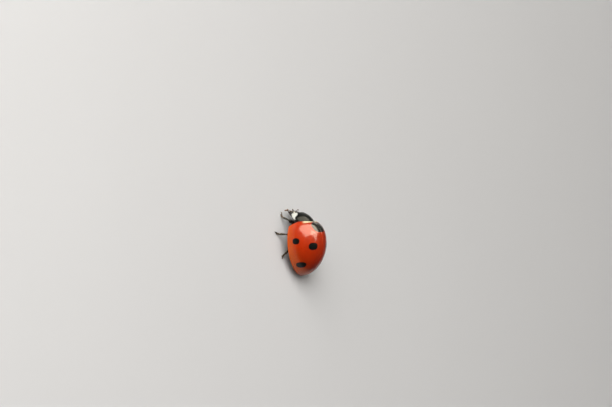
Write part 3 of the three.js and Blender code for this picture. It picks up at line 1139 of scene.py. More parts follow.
@dataclass(frozen=True)
class Spot:
    """A black spot: its middle on the wing case, and its half sizes in millimetres."""

    share: float
    turn: float
    half_along: float
    half_across: float
    tilt: float = 0.0

    def axes(self, stance: Stance) -> tuple[Array, Array, Array]:
        """Places the spot on the wing case.

        Args:
            stance: where the wing cases are.

        Returns:
            Its middle and its directions along and across, in the frame.
        """
        middle = stance.trunk(np.array(DOME.point(self.share, self.turn)))
        normal = stance.turned(np.array(DOME.normal(self.share, self.turn)))
        near = stance.trunk(np.array(DOME.point(self.share + 0.01, self.turn)))
        along = near - middle
        along = unit(along - normal * (along @ normal))
        across = np.cross(along, normal)
        across = across * np.sign(across[0])
        c, s = math.cos(self.tilt), math.sin(self.tilt)
        return middle, along * c + across * s, across * c - along * s


@dataclass(frozen=True)
class WingCaseFinish:
    """Glossy orange-red shell with seven black spots and a pale mark at each side of the base; painted
    shade darkens it toward the tail and in its pits, and painted bounce light turns its lower flanks
    orange.
    """

    red: Colour = linear(180, 45, 0)
    # deep: darker red, used only as painted shade toward the tail and in the pits
    deep: Colour = linear(122, 25, 0)
    # orange: painted bounce light, mixed into the lower flanks
    orange: Colour = linear(212, 92, 0)
    black: Colour = linear(6, 8, 8)
    cream: Colour = linear(236, 222, 178)
    spots: tuple[Spot, ...] = (
        Spot(0.35, 0.77, 0.33, 0.37),
        Spot(0.47, 0.306, 0.39, 0.55),
        Spot(0.801, 0.665, 0.36, 0.545),
    )
    scutellar: Spot = Spot(0.03, 0.001, 0.68, 1.02)
    pale: Spot = Spot(0.004, 0.24, 0.24, 0.68)

    def mask(self, paint: Paint, spot: Spot, stance: Stance, wobble: float, softness: float) -> Term:
        """Returns 1 inside a spot and 0 outside it."""
        middle, along, across = spot.axes(stance)
        return paint.blot(middle, (across, along), (spot.half_across, spot.half_along),
                          noise(paint, paint.place, 3.4, 4.0), wobble, softness)

    def material(self, groups: Groups, stance: Stance) -> Material:
        """Builds the finish.

        Args:
            groups: the shared node groups.
            stance: where the wing cases are.

        Returns:
            The material.
        """
        paint = Paint("wing_case", groups, Coat_Weight=0.8, Coat_Roughness=0.08, Coat_IOR=1.5,
                      Subsurface_Weight=0.12, Subsurface_Scale=0.25 * MM, IOR=1.5,
                      Specular_IOR_Level=0.2)
        pit = paint.pits(21.0, 0.46, 0.14, 0.0024)
        # Painted shade: tail rises toward the tail end, where the shell is mixed toward the darker red as
        # if less lit there.
        tail = ramp(paint.y, 1.0 + stance.shift, 3.3 + stance.shift)
        # Painted bounce light: rim rises toward the lower flanks, which are mixed toward orange as if lit
        # from below.
        rim = ramp(paint.z, stance.ride_height + 1.3, stance.ride_height - 0.1)
        shell = paint.mix(tail * 0.7, self.red, self.deep)
        shell = paint.mix(rim * 0.8, shell, self.orange)
        shell = paint.shade(shell, paint.mottle(0.9, 0.5))
        # Painted shade: the pits are darkened toward the darker red.
        shell = paint.mix(pit * 0.35, shell, self.deep)
        pale = self.mask(paint, self.pale, stance, 0.35, 0.3)
        shell = paint.mix(pale, shell, self.cream)
        dark = self.mask(paint, self.scutellar, stance, 0.16, 0.05)
        for spot in self.spots:
            dark = most(dark, self.mask(paint, spot, stance, 0.2, 0.06))
        paint.colour(paint.mix(dark, shell, self.black))
        paint.roughness(0.3 + (paint.mottle(2.5, 0.5) - 1.0) * 0.3 + pit * 0.1)
        return paint.material


@dataclass(frozen=True)
class ShieldFinish:
    """Glossy black neck shield with a white patch in each front corner."""

    black: Colour = linear(9, 11, 11)
    white: Colour = linear(206, 207, 200)

    def material(self, groups: Groups) -> Material:
        """Builds the finish on the shield's own map: across, and rear to front.

        Args:
            groups: the shared node groups.

        Returns:
            The material.
        """
        paint = Paint("neck_shield", groups, Coat_Weight=0.14, Coat_Roughness=0.07, Coat_IOR=1.52,
                      IOR=1.5, Specular_IOR_Level=0.12)
        pit = paint.pits(23.0, 0.46, 0.16, 0.0022)
        made = paint.node("ShaderNodeUVMap", uv_map="shield")
        across, along, _ = paint.split(made.outputs[0])
        away = size_of(across * 2.0 - 1.0)
        wobble = (noise(paint, paint.place, 3.0) - 0.5) * 0.12
        inner = 0.82 - ramp(along, 0.34, 0.95) * 0.42 + wobble
        front = ramp(along + wobble * 0.8, 0.2, 0.36)
        patch = ramp(away - inner, -0.03, 0.03) * front
        edge = ramp(away, 0.955, 0.975) * ramp(along, 0.02, 0.1)
        collar = ramp(along, 0.955, 0.98) * ramp(away, 0.34, 0.5)
        patch = most(patch, most(edge, collar))
        shell = paint.shade(self.black, paint.mottle(1.5, 0.6))
        paint.colour(paint.mix(patch, shell, self.white))
        paint.roughness(0.3 + (paint.mottle(3.0, 0.5) - 1.0) * 0.3 + pit * 0.12)
        return paint.material


@dataclass(frozen=True)
class ChitinFinish:
    """Black or brown shell of the head, underside and limbs."""

    name: str
    base: Colour = linear(20, 18, 17)
    warm: Colour = linear(52, 30, 18)
    warmth: float = 0.5
    gloss: float = 0.3
    coat: float = 0.35
    pits_per_mm: float = 16.0
    pit_size: float = 0.34
    depth: float = 0.004
    pale: Colour = linear(226, 220, 200)

    def material(self, groups: Groups, blots: Sequence[tuple] = (), soft: float = 0.1) -> Material:
        """Builds the finish, with pale blots if it has any.

        Args:
            groups: the shared node groups.
            blots: middle, directions and half sizes of each, the same on both sides.
            soft: how soft their edges are.

        Returns:
            The material.
        """
        paint = Paint(self.name, groups, Coat_Weight=self.coat, Coat_Roughness=0.14, IOR=1.5,
                      Specular_IOR_Level=0.45)
        pit = paint.pits(self.pits_per_mm, self.pit_size, 0.35, self.depth)
        patchy = ramp(noise(paint, paint.place, 2.2), 0.42, 0.68)
        shell = paint.mix(patchy * self.warmth, self.base, self.warm)
        shell = paint.shade(shell, paint.mottle(5.0, 0.6))
        for middle, axes, halves in blots:
            uneven = noise(paint, paint.place, 5.0)
            shell = paint.mix(paint.blot(middle, axes, halves, uneven, 0.3, soft), shell, self.pale)
        paint.colour(shell)
        paint.roughness(self.gloss + (paint.mottle(4.0, 0.6) - 1.0) * 0.35 + pit * 0.12)
        return paint.material


@dataclass(frozen=True)
class EyeFinish:
    """Black facets with a faint brown glow between them."""

    facet: Colour = linear(20, 19, 22)
    between: Colour = linear(58, 40, 30)

    def material(self, groups: Groups) -> Material:
        """Builds the finish.

        Args:
            groups: the shared node groups.

        Returns:
            The material.
        """
        paint = Paint("eye", groups, Coat_Weight=0.9, Coat_Roughness=0.05, IOR=1.5)
        cloud = ramp(noise(paint, paint.place, 7.0), 0.4, 0.75)
        paint.colour(paint.shade(paint.mix(cloud * 0.4, self.facet, self.between),
                                 paint.mottle(20.0, 0.5)))
        paint.roughness(0.16 + (paint.mottle(9.0, 0.4) - 1.0) * 0.2)
        return paint.material


@dataclass(frozen=True)
class HairFinish:
    """Fine hairs, patchily mixed from a darker and a paler brown."""

    name: str
    root: Colour = linear(118, 96, 64)
    tip: Colour = linear(206, 190, 156)

    def material(self, groups: Groups) -> Material:
        """Builds the finish.

        Args:
            groups: the shared node groups.

        Returns:
            The material.
        """
        paint = Paint(self.name, groups, IOR=1.55, Sheen_Weight=0.15)
        paint.colour(paint.mix(ramp(noise(paint, paint.place, 9.0), 0.3, 0.7), self.root, self.tip))
        paint.roughness(0.42 + (paint.mottle(12.0, 0.4) - 1.0) * 0.3)
        return paint.material


# Pieces
class Side(Enum):
    """A side of the animal."""

    LEFT = "left"
    RIGHT = "right"


@dataclass
class Workshop:
    """What every sub-assembly needs: the stance, the tools and the shared node groups."""

    stance: Stance
    tools: Tools
    groups: Groups

    def finish_piece(self, piece: Piece, slot: str, *nodes: str,
                     sharp: float | None = None) -> None:
        """Fastens a piece to the frame and reports it.

        Args:
            piece: the finished piece.
            slot: the record's slot, named in the log.
            *nodes: CAD nodes that it stands for.
            sharp: angle in degrees above which an edge stays crisp.
        """
        if sharp is not None:
            piece.data.set_sharp_from_angle(angle=math.radians(sharp))
        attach(piece, BODY)
        if nodes:
            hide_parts(*nodes)
        LOG.info("%s: %d faces, slot %s", piece.name, len(piece.data.polygons), slot)

    def piece(self, form: Form, name: str, material: Material) -> Piece:
        """Makes a form a dressed object.

        Args:
            form: the form.
            name: the piece's name.
            material: its finish.

        Returns:
            The piece.
        """
        made = put(name, form.mesh(name))
        made.data.materials.append(material)
        return made

    def place(self, form: Form, name: str, material: Material, slot: str, node: str,
              sharp: float = 60.0) -> None:
        """Makes a form a finished piece in one step."""
        self.finish_piece(self.piece(form, name, material), slot, node, sharp=sharp)

    def heal(self, piece: Piece, closeness: float = 2e-5 * MM) -> None:
        """Joins doubled points, drops faces without area and closes pinholes.

        Args:
            piece: the piece to mend.
            closeness: distance under which two points are one, in metres.
        """
        work = bmesh.new()
        work.from_mesh(piece.data)
        bmesh.ops.remove_doubles(work, verts=work.verts, dist=closeness)
        bmesh.ops.dissolve_degenerate(work, dist=closeness, edges=work.edges)
        rim = [edge for edge in work.edges if edge.is_boundary]
        if rim:
            bmesh.ops.holes_fill(work, edges=rim, sides=12)
        work.to_mesh(piece.data)
        work.free()

    def pair(self, form: Form, name: str, material: Material, slot: str, node: str) -> None:
        """Makes a left piece and its mirror image.

        Args:
            form: the left form.
            name: the pieces' name without their side.
            material: their finish.
            slot: the record's slot.
            node: the node each stands for, without its side.
        """
        for side in Side:
            shape = form if side is Side.LEFT else form.mirrored()
            self.place(shape, f"{name}_{side.value}", material, slot, f"{node}_{side.value}")

    def mirror(self, piece: Piece) -> Piece:
        """Makes the mirror image of a left piece.

        Args:
            piece: the left piece.

        Returns:
            The right piece, its faces outward.
        """
        name = piece.name.replace(Side.LEFT.value, Side.RIGHT.value)
        data = piece.data.copy()
        data.name = name
        data.transform(Matrix.Scale(-1, 4, (1, 0, 0)))
        data.flip_normals()
        return put(name, data)

    def finish_both(self, left: Piece, slot: str, node: str, sharp: float) -> None:
        """Finishes a left piece and its mirror image.

        Args:
            left: the left piece.
            slot: the record's slot.
            node: the node each stands for, without its side.
            sharp: angle in degrees above which an edge stays crisp.
        """
        for side, made in zip(Side, (left, self.mirror(left))):
            self.finish_piece(made, slot, f"{node}_{side.value}", sharp=sharp)

    def setae(self, skin: Form, name: str, slot: str, material: Material,
              per_mm2: float, length: float, thickness: float, lean: float, seed: int,
              both: bool = False) -> None:
        """Scatters hairs over a skin that is marked with hair and comb.

        Args:
            skin: the surface, in the frame.
            name: the piece's name.
            slot: the record's slot.
            material: the hairs' finish.
            per_mm2: hairs to the square millimetre where the skin is marked 1.
            length: their length in millimetres.
            thickness: their thickness in millimetres.
            lean: how far they lean along the comb.
            seed: for the scatter.
            both: whether to make a mirror image as well.
        """
        marks = skin.marks
        root = np.stack([marks["round"], marks["along"], marks["round"] * 0], -1) * 0.98 + 0.01
        source = skin.marked(root_uv=root).source(name + "_skin")
        made = self.tools.setae.run(
            name, source, Hair=self.tools.hair, Density=per_mm2 / MM ** 2, Length=length * MM,
            Thickness=thickness * MM, Lean=lean, Seed=seed, Finish=material)
        for piece in [made, self.mirror(made)] if both else [made]:
            piece.data.uv_layers["OFBake"].active = True
            self.finish_piece(piece, slot)


@dataclass
class WingCases:
    """The two wing cases."""

    shop: Workshop
    base_thickness: float = 0.24
    thickness: float = 0.5
    tip_thickness: float = 0.34
    bead: float = 0.02
    groove: float = 0.014
    shoulder_bump: float = 0.03

    def relief(self, share: Array, turn: Array) -> Array:
        """Shapes the margin's bead, the groove inside it, the seam's edge and the shoulder.

        Args:
            share: place along the wing case.
            turn: place across it.

        Returns:
            The depth below the plain dome.
        """
        edge = 1 - turn
        fade = ramp(share, 0.0, 0.06)
        rise = self.bead * bell(edge, 0.006, 0.012)
        sink = self.groove * bell(edge, 0.042, 0.02)
        bump = self.shoulder_bump * bell(share, 0.1, 0.08) * bell(turn, 0.68, 0.16)
        seam = 0.012 * bell(turn, 0.02, 0.014) * ramp(share, 0.2, 0.45)
        return (sink - rise) * fade - bump - seam

    def form(self) -> Form:
        """Marks out the left wing case.

        Returns:
            The marks, for the rule of the dome to lay out.
        """
        base_wall = [(0.0, 1.0), (0.0, 0.5), (0.0, 0.12), (0.0008, 0.05), (0.003, 0.018), (0.007, 0.004)]
        seam_wall = [(0.0, 1.0), (0.0, 0.5), (0.0, 0.08), (0.0009, 0.035), (0.0028, 0.012),
                     (0.0055, 0.003)]
        rim_wall = [(1.0, wall) for wall in (0.03, 0.07, 0.13, 0.3, 0.55, 0.8, 0.92, 1.0)]
        middle_rows = eased(132, 0.012, 1 - 1e-6)
        middle_turns = np.concatenate([
            np.linspace(0.009, 0.9, 62, endpoint=False), np.linspace(0.9, 1.0, 26)])
        rows = np.array(base_wall + [(s, 0.0) for s in middle_rows]
                        + [(1 - 1e-6, w) for w in (0.2, 0.6, 1.0)])
        turns = np.array(seam_wall + [(t, 0.0) for t in middle_turns] + rim_wall)
        quads, row, column, under = plate(len(rows), len(turns))
        share, turn = rows[row, 0], turns[column, 0]
        deep = lerp(self.thickness, self.tip_thickness, ramp(share, *TIP_SHARES))
        deep = lerp(self.base_thickness, deep, ramp(share, 0.02, 0.3))
        wall = np.maximum(rows[row, 1], turns[column, 1])
        wall = np.where(under, 1.0, wall)
        relief = np.where(under, 0.0, self.relief(share, turn) * (1 - wall))
        on_rim = np.where(under, 0.0, turns[column, 1] * (turn >= 1.0)) * (rows[row, 1] == 0)
        drop = 0.035 * np.sin(np.pi * np.clip(on_rim * 3, 0, 1)) + 0.012 * np.sin(np.pi * on_rim)
        flat = np.stack([share, turn, under * 0.1], -1)
        return Form(flat, quads, marks={
            "share": share, "turn": turn, "inset": (wall * deep + relief) * MM, "drop": drop * MM})

    def build(self) -> None:
        """Builds and dresses both wing cases."""
        stance = self.shop.stance
        finish = WingCaseFinish().material(self.shop.groups, stance)
        source = self.form().source("wing_case_marks")
        left = self.shop.tools.dome.run(
            "elytron_left_shell", source, Nose_Up=stance.nose_up, Shift=stance.shift * MM,
            Ride_Height=stance.ride_height * MM, Finish=finish)
        facing = sum(p.normal.z * p.area for p in left.data.polygons if p.center.z > 1.6 * MM)
        if facing < 0:
            left.data.flip_normals()
        for label in ("share", "turn", "inset", "drop"):
            left.data.attributes.remove(left.data.attributes[label])
        self.shop.heal(left)
        self.shop.finish_both(left, "elytra", "elytron", sharp=50)


@dataclass
class NeckShield:
    """The neck shield over the front of the trunk."""

    shop: Workshop
    thickness: float = 0.14
    bead: float = 0.016

    def form(self) -> Form:
        """Shapes the shield with its edges rounded.

        Returns:
            The shield, marked with its map.
        """
        corner = [(0.0, 1.0), (0.0, 0.75), (0.002, 0.45), (0.007, 0.22), (0.016, 0.07)]
        far = [(1 - s, w) for s, w in corner[::-1]]
        rows, turns = (np.array(corner + [(s, 0.0) for s in middle] + far)
                       for middle in (eased(84, 0.03, 0.97), np.linspace(0.03, 0.97, 130)))
        quads, row, column, under = plate(len(rows), len(turns))
        share, turn = rows[row, 0], turns[column, 0] * 2 - 1
        wall = np.where(under, 1.0, np.maximum(rows[row, 1], turns[column, 1]))
        margin = 1 - np.abs(turn)
        bead = self.bead * bell(margin, 0.02, 0.025)
        groove = 0.012 * bell(margin, 0.085, 0.035)
        lip = 0.012 * bell(1 - share, 0.02, 0.02)
        relief = np.where(under, 0.0, (groove - bead - lip) * (1 - wall))
        points = SHIELD.point(share, turn, wall * self.thickness + relief)
        form = Form(self.shop.stance.trunk(points), quads).outward()
        return form.marked(shield_u=(turn + 1) / 2, shield_v=share)

    def build(self) -> None:
        """Builds and dresses the shield."""
        made = self.shop.piece(self.form(), "pronotum_shell", ShieldFinish().material(self.shop.groups))
        data = made.data
        corner = np.zeros(len(data.loops), np.int32)
        data.loops.foreach_get("vertex_index", corner)
        values = [np.zeros(len(data.vertices), np.float32) for _ in range(2)]
        for array, label in zip(values, ("shield_u", "shield_v")):
            data.attributes[label].data.foreach_get("value", array)
            data.attributes.remove(data.attributes[label])
        layer = data.uv_layers.new(name="shield")
        layer.data.foreach_set("uv", np.stack([v[corner] for v in values], -1).ravel())
        self.shop.heal(made)
        self.shop.finish_piece(made, "pronotum", "pronotum", sharp=60)


def belly_depth(share: Array) -> Array:
    """Returns how far the belly hangs below the margins, along the trunk."""
    return 0.34 * np.sqrt(np.clip(1 - np.clip(share, 0, 1) ** 3, 0, 1)) + 0.02


@dataclass
class Underside:
    """The trunk beneath the wing cases: thorax, belly plates, and their fine hairs."""

    shop: Workshop
    waist: float = 0.42
    end: float = 0.955
    plates: int = 5

    def ring(self, share: float, depth: float, thickness: float, shift: float = 0.0) -> Array:
        """Ring round the trunk.

        Args:
            share: place along the wing cases.
            depth: how far the belly hangs below the margins.
            thickness: depth of the back below the wing cases' outer face.
            shift: move toward the tail.

        Returns:
            Its points, the back from right to left and the belly from left to right.
        """
        turns = np.linspace(-1, 1, 41)
        s = np.full_like(turns, share)
        half = DOME.inset(s, np.abs(turns), np.full_like(turns, thickness + GAP))
        back = np.stack([half[0] * np.sign(turns), half[1], half[2]], -1)
        right, left = back[0], back[-1]
        angle = np.linspace(0, np.pi, 122)[1:-1]
        middle = (right + left) / 2
        x = (left[0] - middle[0]) * signed_power(np.cos(angle), 0.8)
        z = middle[2] - depth * np.sin(angle) ** 0.7
        belly = np.stack([x, np.full_like(x, middle[1]), z], -1)
        return np.concatenate([back, belly]) + [0, shift, 0]

    def abdomen(self) -> Form:
        """Shapes the belly, its plates overlapping toward the tail.

        Returns:
            The belly.
        """
        rings = []
        edges = np.linspace(self.waist, self.end, self.plates + 1)
        for index, (start, stop) in enumerate(zip(edges, edges[1:])):
            for t in (0.0, 0.04, 0.1, 0.2, 0.35, 0.5, 0.65, 0.8, 0.9, 0.96, 0.99, 1.0):
                share = float(lerp(start, stop, t))
                tuck = 0.0 if index == 0 else 0.045 * (1 - ramp(np.array(t), 0.0, 0.16))
                roll = 0.02 * float(ramp(np.array(t), 0.94, 1.0))
                swell_ = 0.018 * math.sin(math.pi * t)
                thickness = float(lerp(WingCases.thickness, WingCases.tip_thickness,
                                       ramp(np.array(share), *TIP_SHARES)))
                depth = float(belly_depth(np.array(share))) - tuck - roll + swell_
                rings.append(self.ring(share, depth, thickness, 0.04))
        rings = np.stack(rings)
        below = rings[..., 2] < 0.02
        dent = 0.02 * hump(np.abs(rings[..., 0]), 1.15, 0.35) * below
        rings[..., 2] += dent
        return loft(rings, end=rings[-1].mean(0) + [0, 0.06, 0])

    def seams(self, x: Array, y: Array) -> Array:
        """Depth of the grooves between the plates of the hind thorax.

        Args:
            x: distance from the middle line.
            y: place along the trunk.

        Returns:
            The depth in millimetres.
        """
        wide = 0.03
        middle = bell(x, 0.0, wide) * ramp(y, -1.0, -0.8) * 0.02
        cross = bell(y + 1.52, 0.18 * np.cos(x * 1.6), wide) * 0.022 * ramp(x, 1.4, 1.2)
        flank = bell(x - 1.46, 0.12 * (y + 1.0), wide) * ramp(y, -1.55, -1.4) * 0.026
        fore = bell(y + 1.45, 0.5 * (x - 1.5), wide) * ramp(x, 1.2, 1.35) * 0.026
        hind = bell(y + 0.42, 0.1 * np.cos(x * 2.0), wide) * ramp(x, 1.45, 1.2) * 0.015
        return middle + cross + flank + fore + hind

    def thorax(self) -> Form:
        """Shapes the middle and hind thorax with their seams.

        Returns:
            The thorax.
        """
        shares = np.concatenate([[0.02, 0.03, 0.045], np.linspace(0.06, self.waist, 74)])
        depths = belly_depth(shares)
        rings = np.stack([self.ring(float(s), float(d), 0.5) for s, d in zip(shares, depths)])
        x, y = np.abs(rings[..., 0]), rings[..., 1]
        below = ramp(rings[..., 2], 0.15, 0.0)
        rings[..., 2] += self.seams(x, y) * below
        collars = []
        for scale, ahead in ((0.5, 0.3), (0.62, 0.24), (0.69, 0.16), (0.74, 0.08), (0.86, 0.03)):
            collars.append(rings[0] * [scale, 1, scale] + [0, -ahead, -0.1 * (1 - scale)])
        return loft(np.concatenate([np.stack(collars), rings]))

    def haired(self, form: Form) -> Form:
        """Marks a form for hairs on its belly.

        Args:
            form: the form, in the frame.

        Returns:
            The form, combed toward the tail.
        """
        z = form.points[:, 2]
        low = self.shop.stance.ride_height
        outward = ramp(np.abs(form.points[:, 0]), 0.2, 1.3)
        hair = ramp(z, low + 0.12, low - 0.08) * (0.35 + 0.65 * outward)
        comb = np.tile([0.0, 1.0, 0.0], (len(z), 1))
        return form.marked(hair=hair, comb=comb)

    def build(self) -> None:
        """Builds and dresses the underside."""
        shop, stance = self.shop, self.shop.stance
        black = ChitinFinish("underside", gloss=0.42, coat=0.2, pits_per_mm=11.0, depth=0.006)
        blots = [(stance.trunk([1.62, -1.78, 0.02]), ((0, 0, 1), (0, 1, 0)), (0.15, 0.17))]
        plates = black.material(shop.groups)
        flanks = replace(black, name="thorax_flank").material(shop.groups, blots, 0.08)
        belly = self.abdomen().placed(stance.trunk)
        chest = self.thorax().placed(stance.trunk)
        tail = shop.piece(belly, "abdomen_plates", plates)
        shop.heal(tail)
        shop.finish_piece(tail, "abdomen", "abdomen", sharp=55)
        shop.place(chest, "hind_thorax_plates", flanks, "thorax", "hind_thorax")
        pale = HairFinish("belly_setae").material(shop.groups)
        for part, name, slot, per_mm2, seed in ((belly, "belly_setae", "abdomen", 330, 7),
                                                (chest, "thorax_setae", "thorax", 300, 11)):
            shop.setae(self.haired(part), name, slot, pale, per_mm2, length=0.085, thickness=0.0055,
                       lean=2.6, seed=seed)


@dataclass
class NeckAndScutellum:
    """The prothorax inside the neck shield, and the small plate behind it."""

    shop: Workshop
    half_width: float = 0.262
    ahead: float = 0.06
    lift: float = 0.02
    clearance: float = 0.02
    depth: float = 0.42

    def prothorax(self) -> Form:
        """Shapes the prothorax, its front closed by the neck skin.

        Returns:
            The prothorax.
        """
        shares = np.linspace(0.03, 0.57, 30)
        rings = []
        for share in shares:
            turns = np.linspace(-1, 1, 61)
            inset = 0.16 + 0.06 * ramp(np.array(share), 0.42, 0.57)
            back = SHIELD.point(np.full_like(turns, share), turns, np.full_like(turns, inset))
            left = back[-1]
            sink = float(lerp(0.62, 0.42, (share - 0.03) / 0.54))
            angle = np.linspace(0, np.pi, 62)[1:-1]
            x = left[0] * np.cos(angle)
            y = left[1] + 0.08 * np.sin(angle)
            z = left[2] - sink * np.sin(angle) ** 0.8
            keel = 0.03 * bell(x, 0.0, 0.09)
            groove = 0.02 * bell(np.abs(x), 0.95, 0.04)
            belly = np.stack([x, y, z - keel + groove], -1)
            rings.append(np.concatenate([back, belly]))
        rings = np.stack(rings)
        middle = rings[-1].mean(0)
        folds = [lerp(middle, rings[-1], k) + [0, d, 0]
                 for k, d in ((0.93, -0.03), (0.84, -0.035), (0.74, 0.0), (0.6, -0.02), (0.45, 0.0))]
        return loft(np.concatenate([rings, np.stack(folds)]))

    def scutellum(self) -> Form:
        """Shapes the scutellum, a small domed triangle with rounded edges.

        Returns:
            The scutellum.
        """
        base, apex = (np.array(DOME.point(0.0, turn)) for turn in (DOME.notch_turn, 0.0))
        rise, run = float(apex[2] - base[2]), float(apex[1] - base[1])
        length = math.hypot(rise, run) - self.clearance
        corners = np.array([
            [-self.half_width, -self.ahead], [self.half_width, -self.ahead], [0.0, length]])
        t = np.linspace(0, 3, 60, endpoint=False)
        edge, part = t.astype(int), (t % 1)[:, None]
        outline = corners[edge] * (1 - part) + corners[(edge + 1) % 3] * part
        centre = corners.mean(0)
        rings = []
        for scale, z in ((0.96, -self.depth), (0.98, -0.12), (1.0, -0.05), (0.985, -0.02), (0.94, 0.0),
                         (0.8, 0.022), (0.55, 0.042), (0.28, 0.05)):
            soft = lerp(outline, centre, (1 - scale))
            rings.append(np.column_stack([soft, np.full(len(t), z)]))
        turned = tilted(rings, -math.atan2(rise, run))
        return loft(turned + [0.0, base[1], base[2] + self.lift])

    def build(self) -> None:
        """Builds and dresses both pieces."""
        shop = self.shop
        under = ChitinFinish("neck", gloss=0.45, coat=0.15, pits_per_mm=13.0)
        shiny = ChitinFinish("scutellum", base=linear(15, 16, 17), warmth=0.1, coat=0.6, pits_per_mm=20.0,
                             depth=0.0025)
        neck = self.prothorax().placed(shop.stance.trunk)
        small = self.scutellum().placed(shop.stance.trunk)
        shop.place(neck, "prothorax_shell", under.material(shop.groups), "thorax", "prothorax")
        shop.place(small, "scutellum_plate", shiny.material(shop.groups), "scutellum", "scutellum")


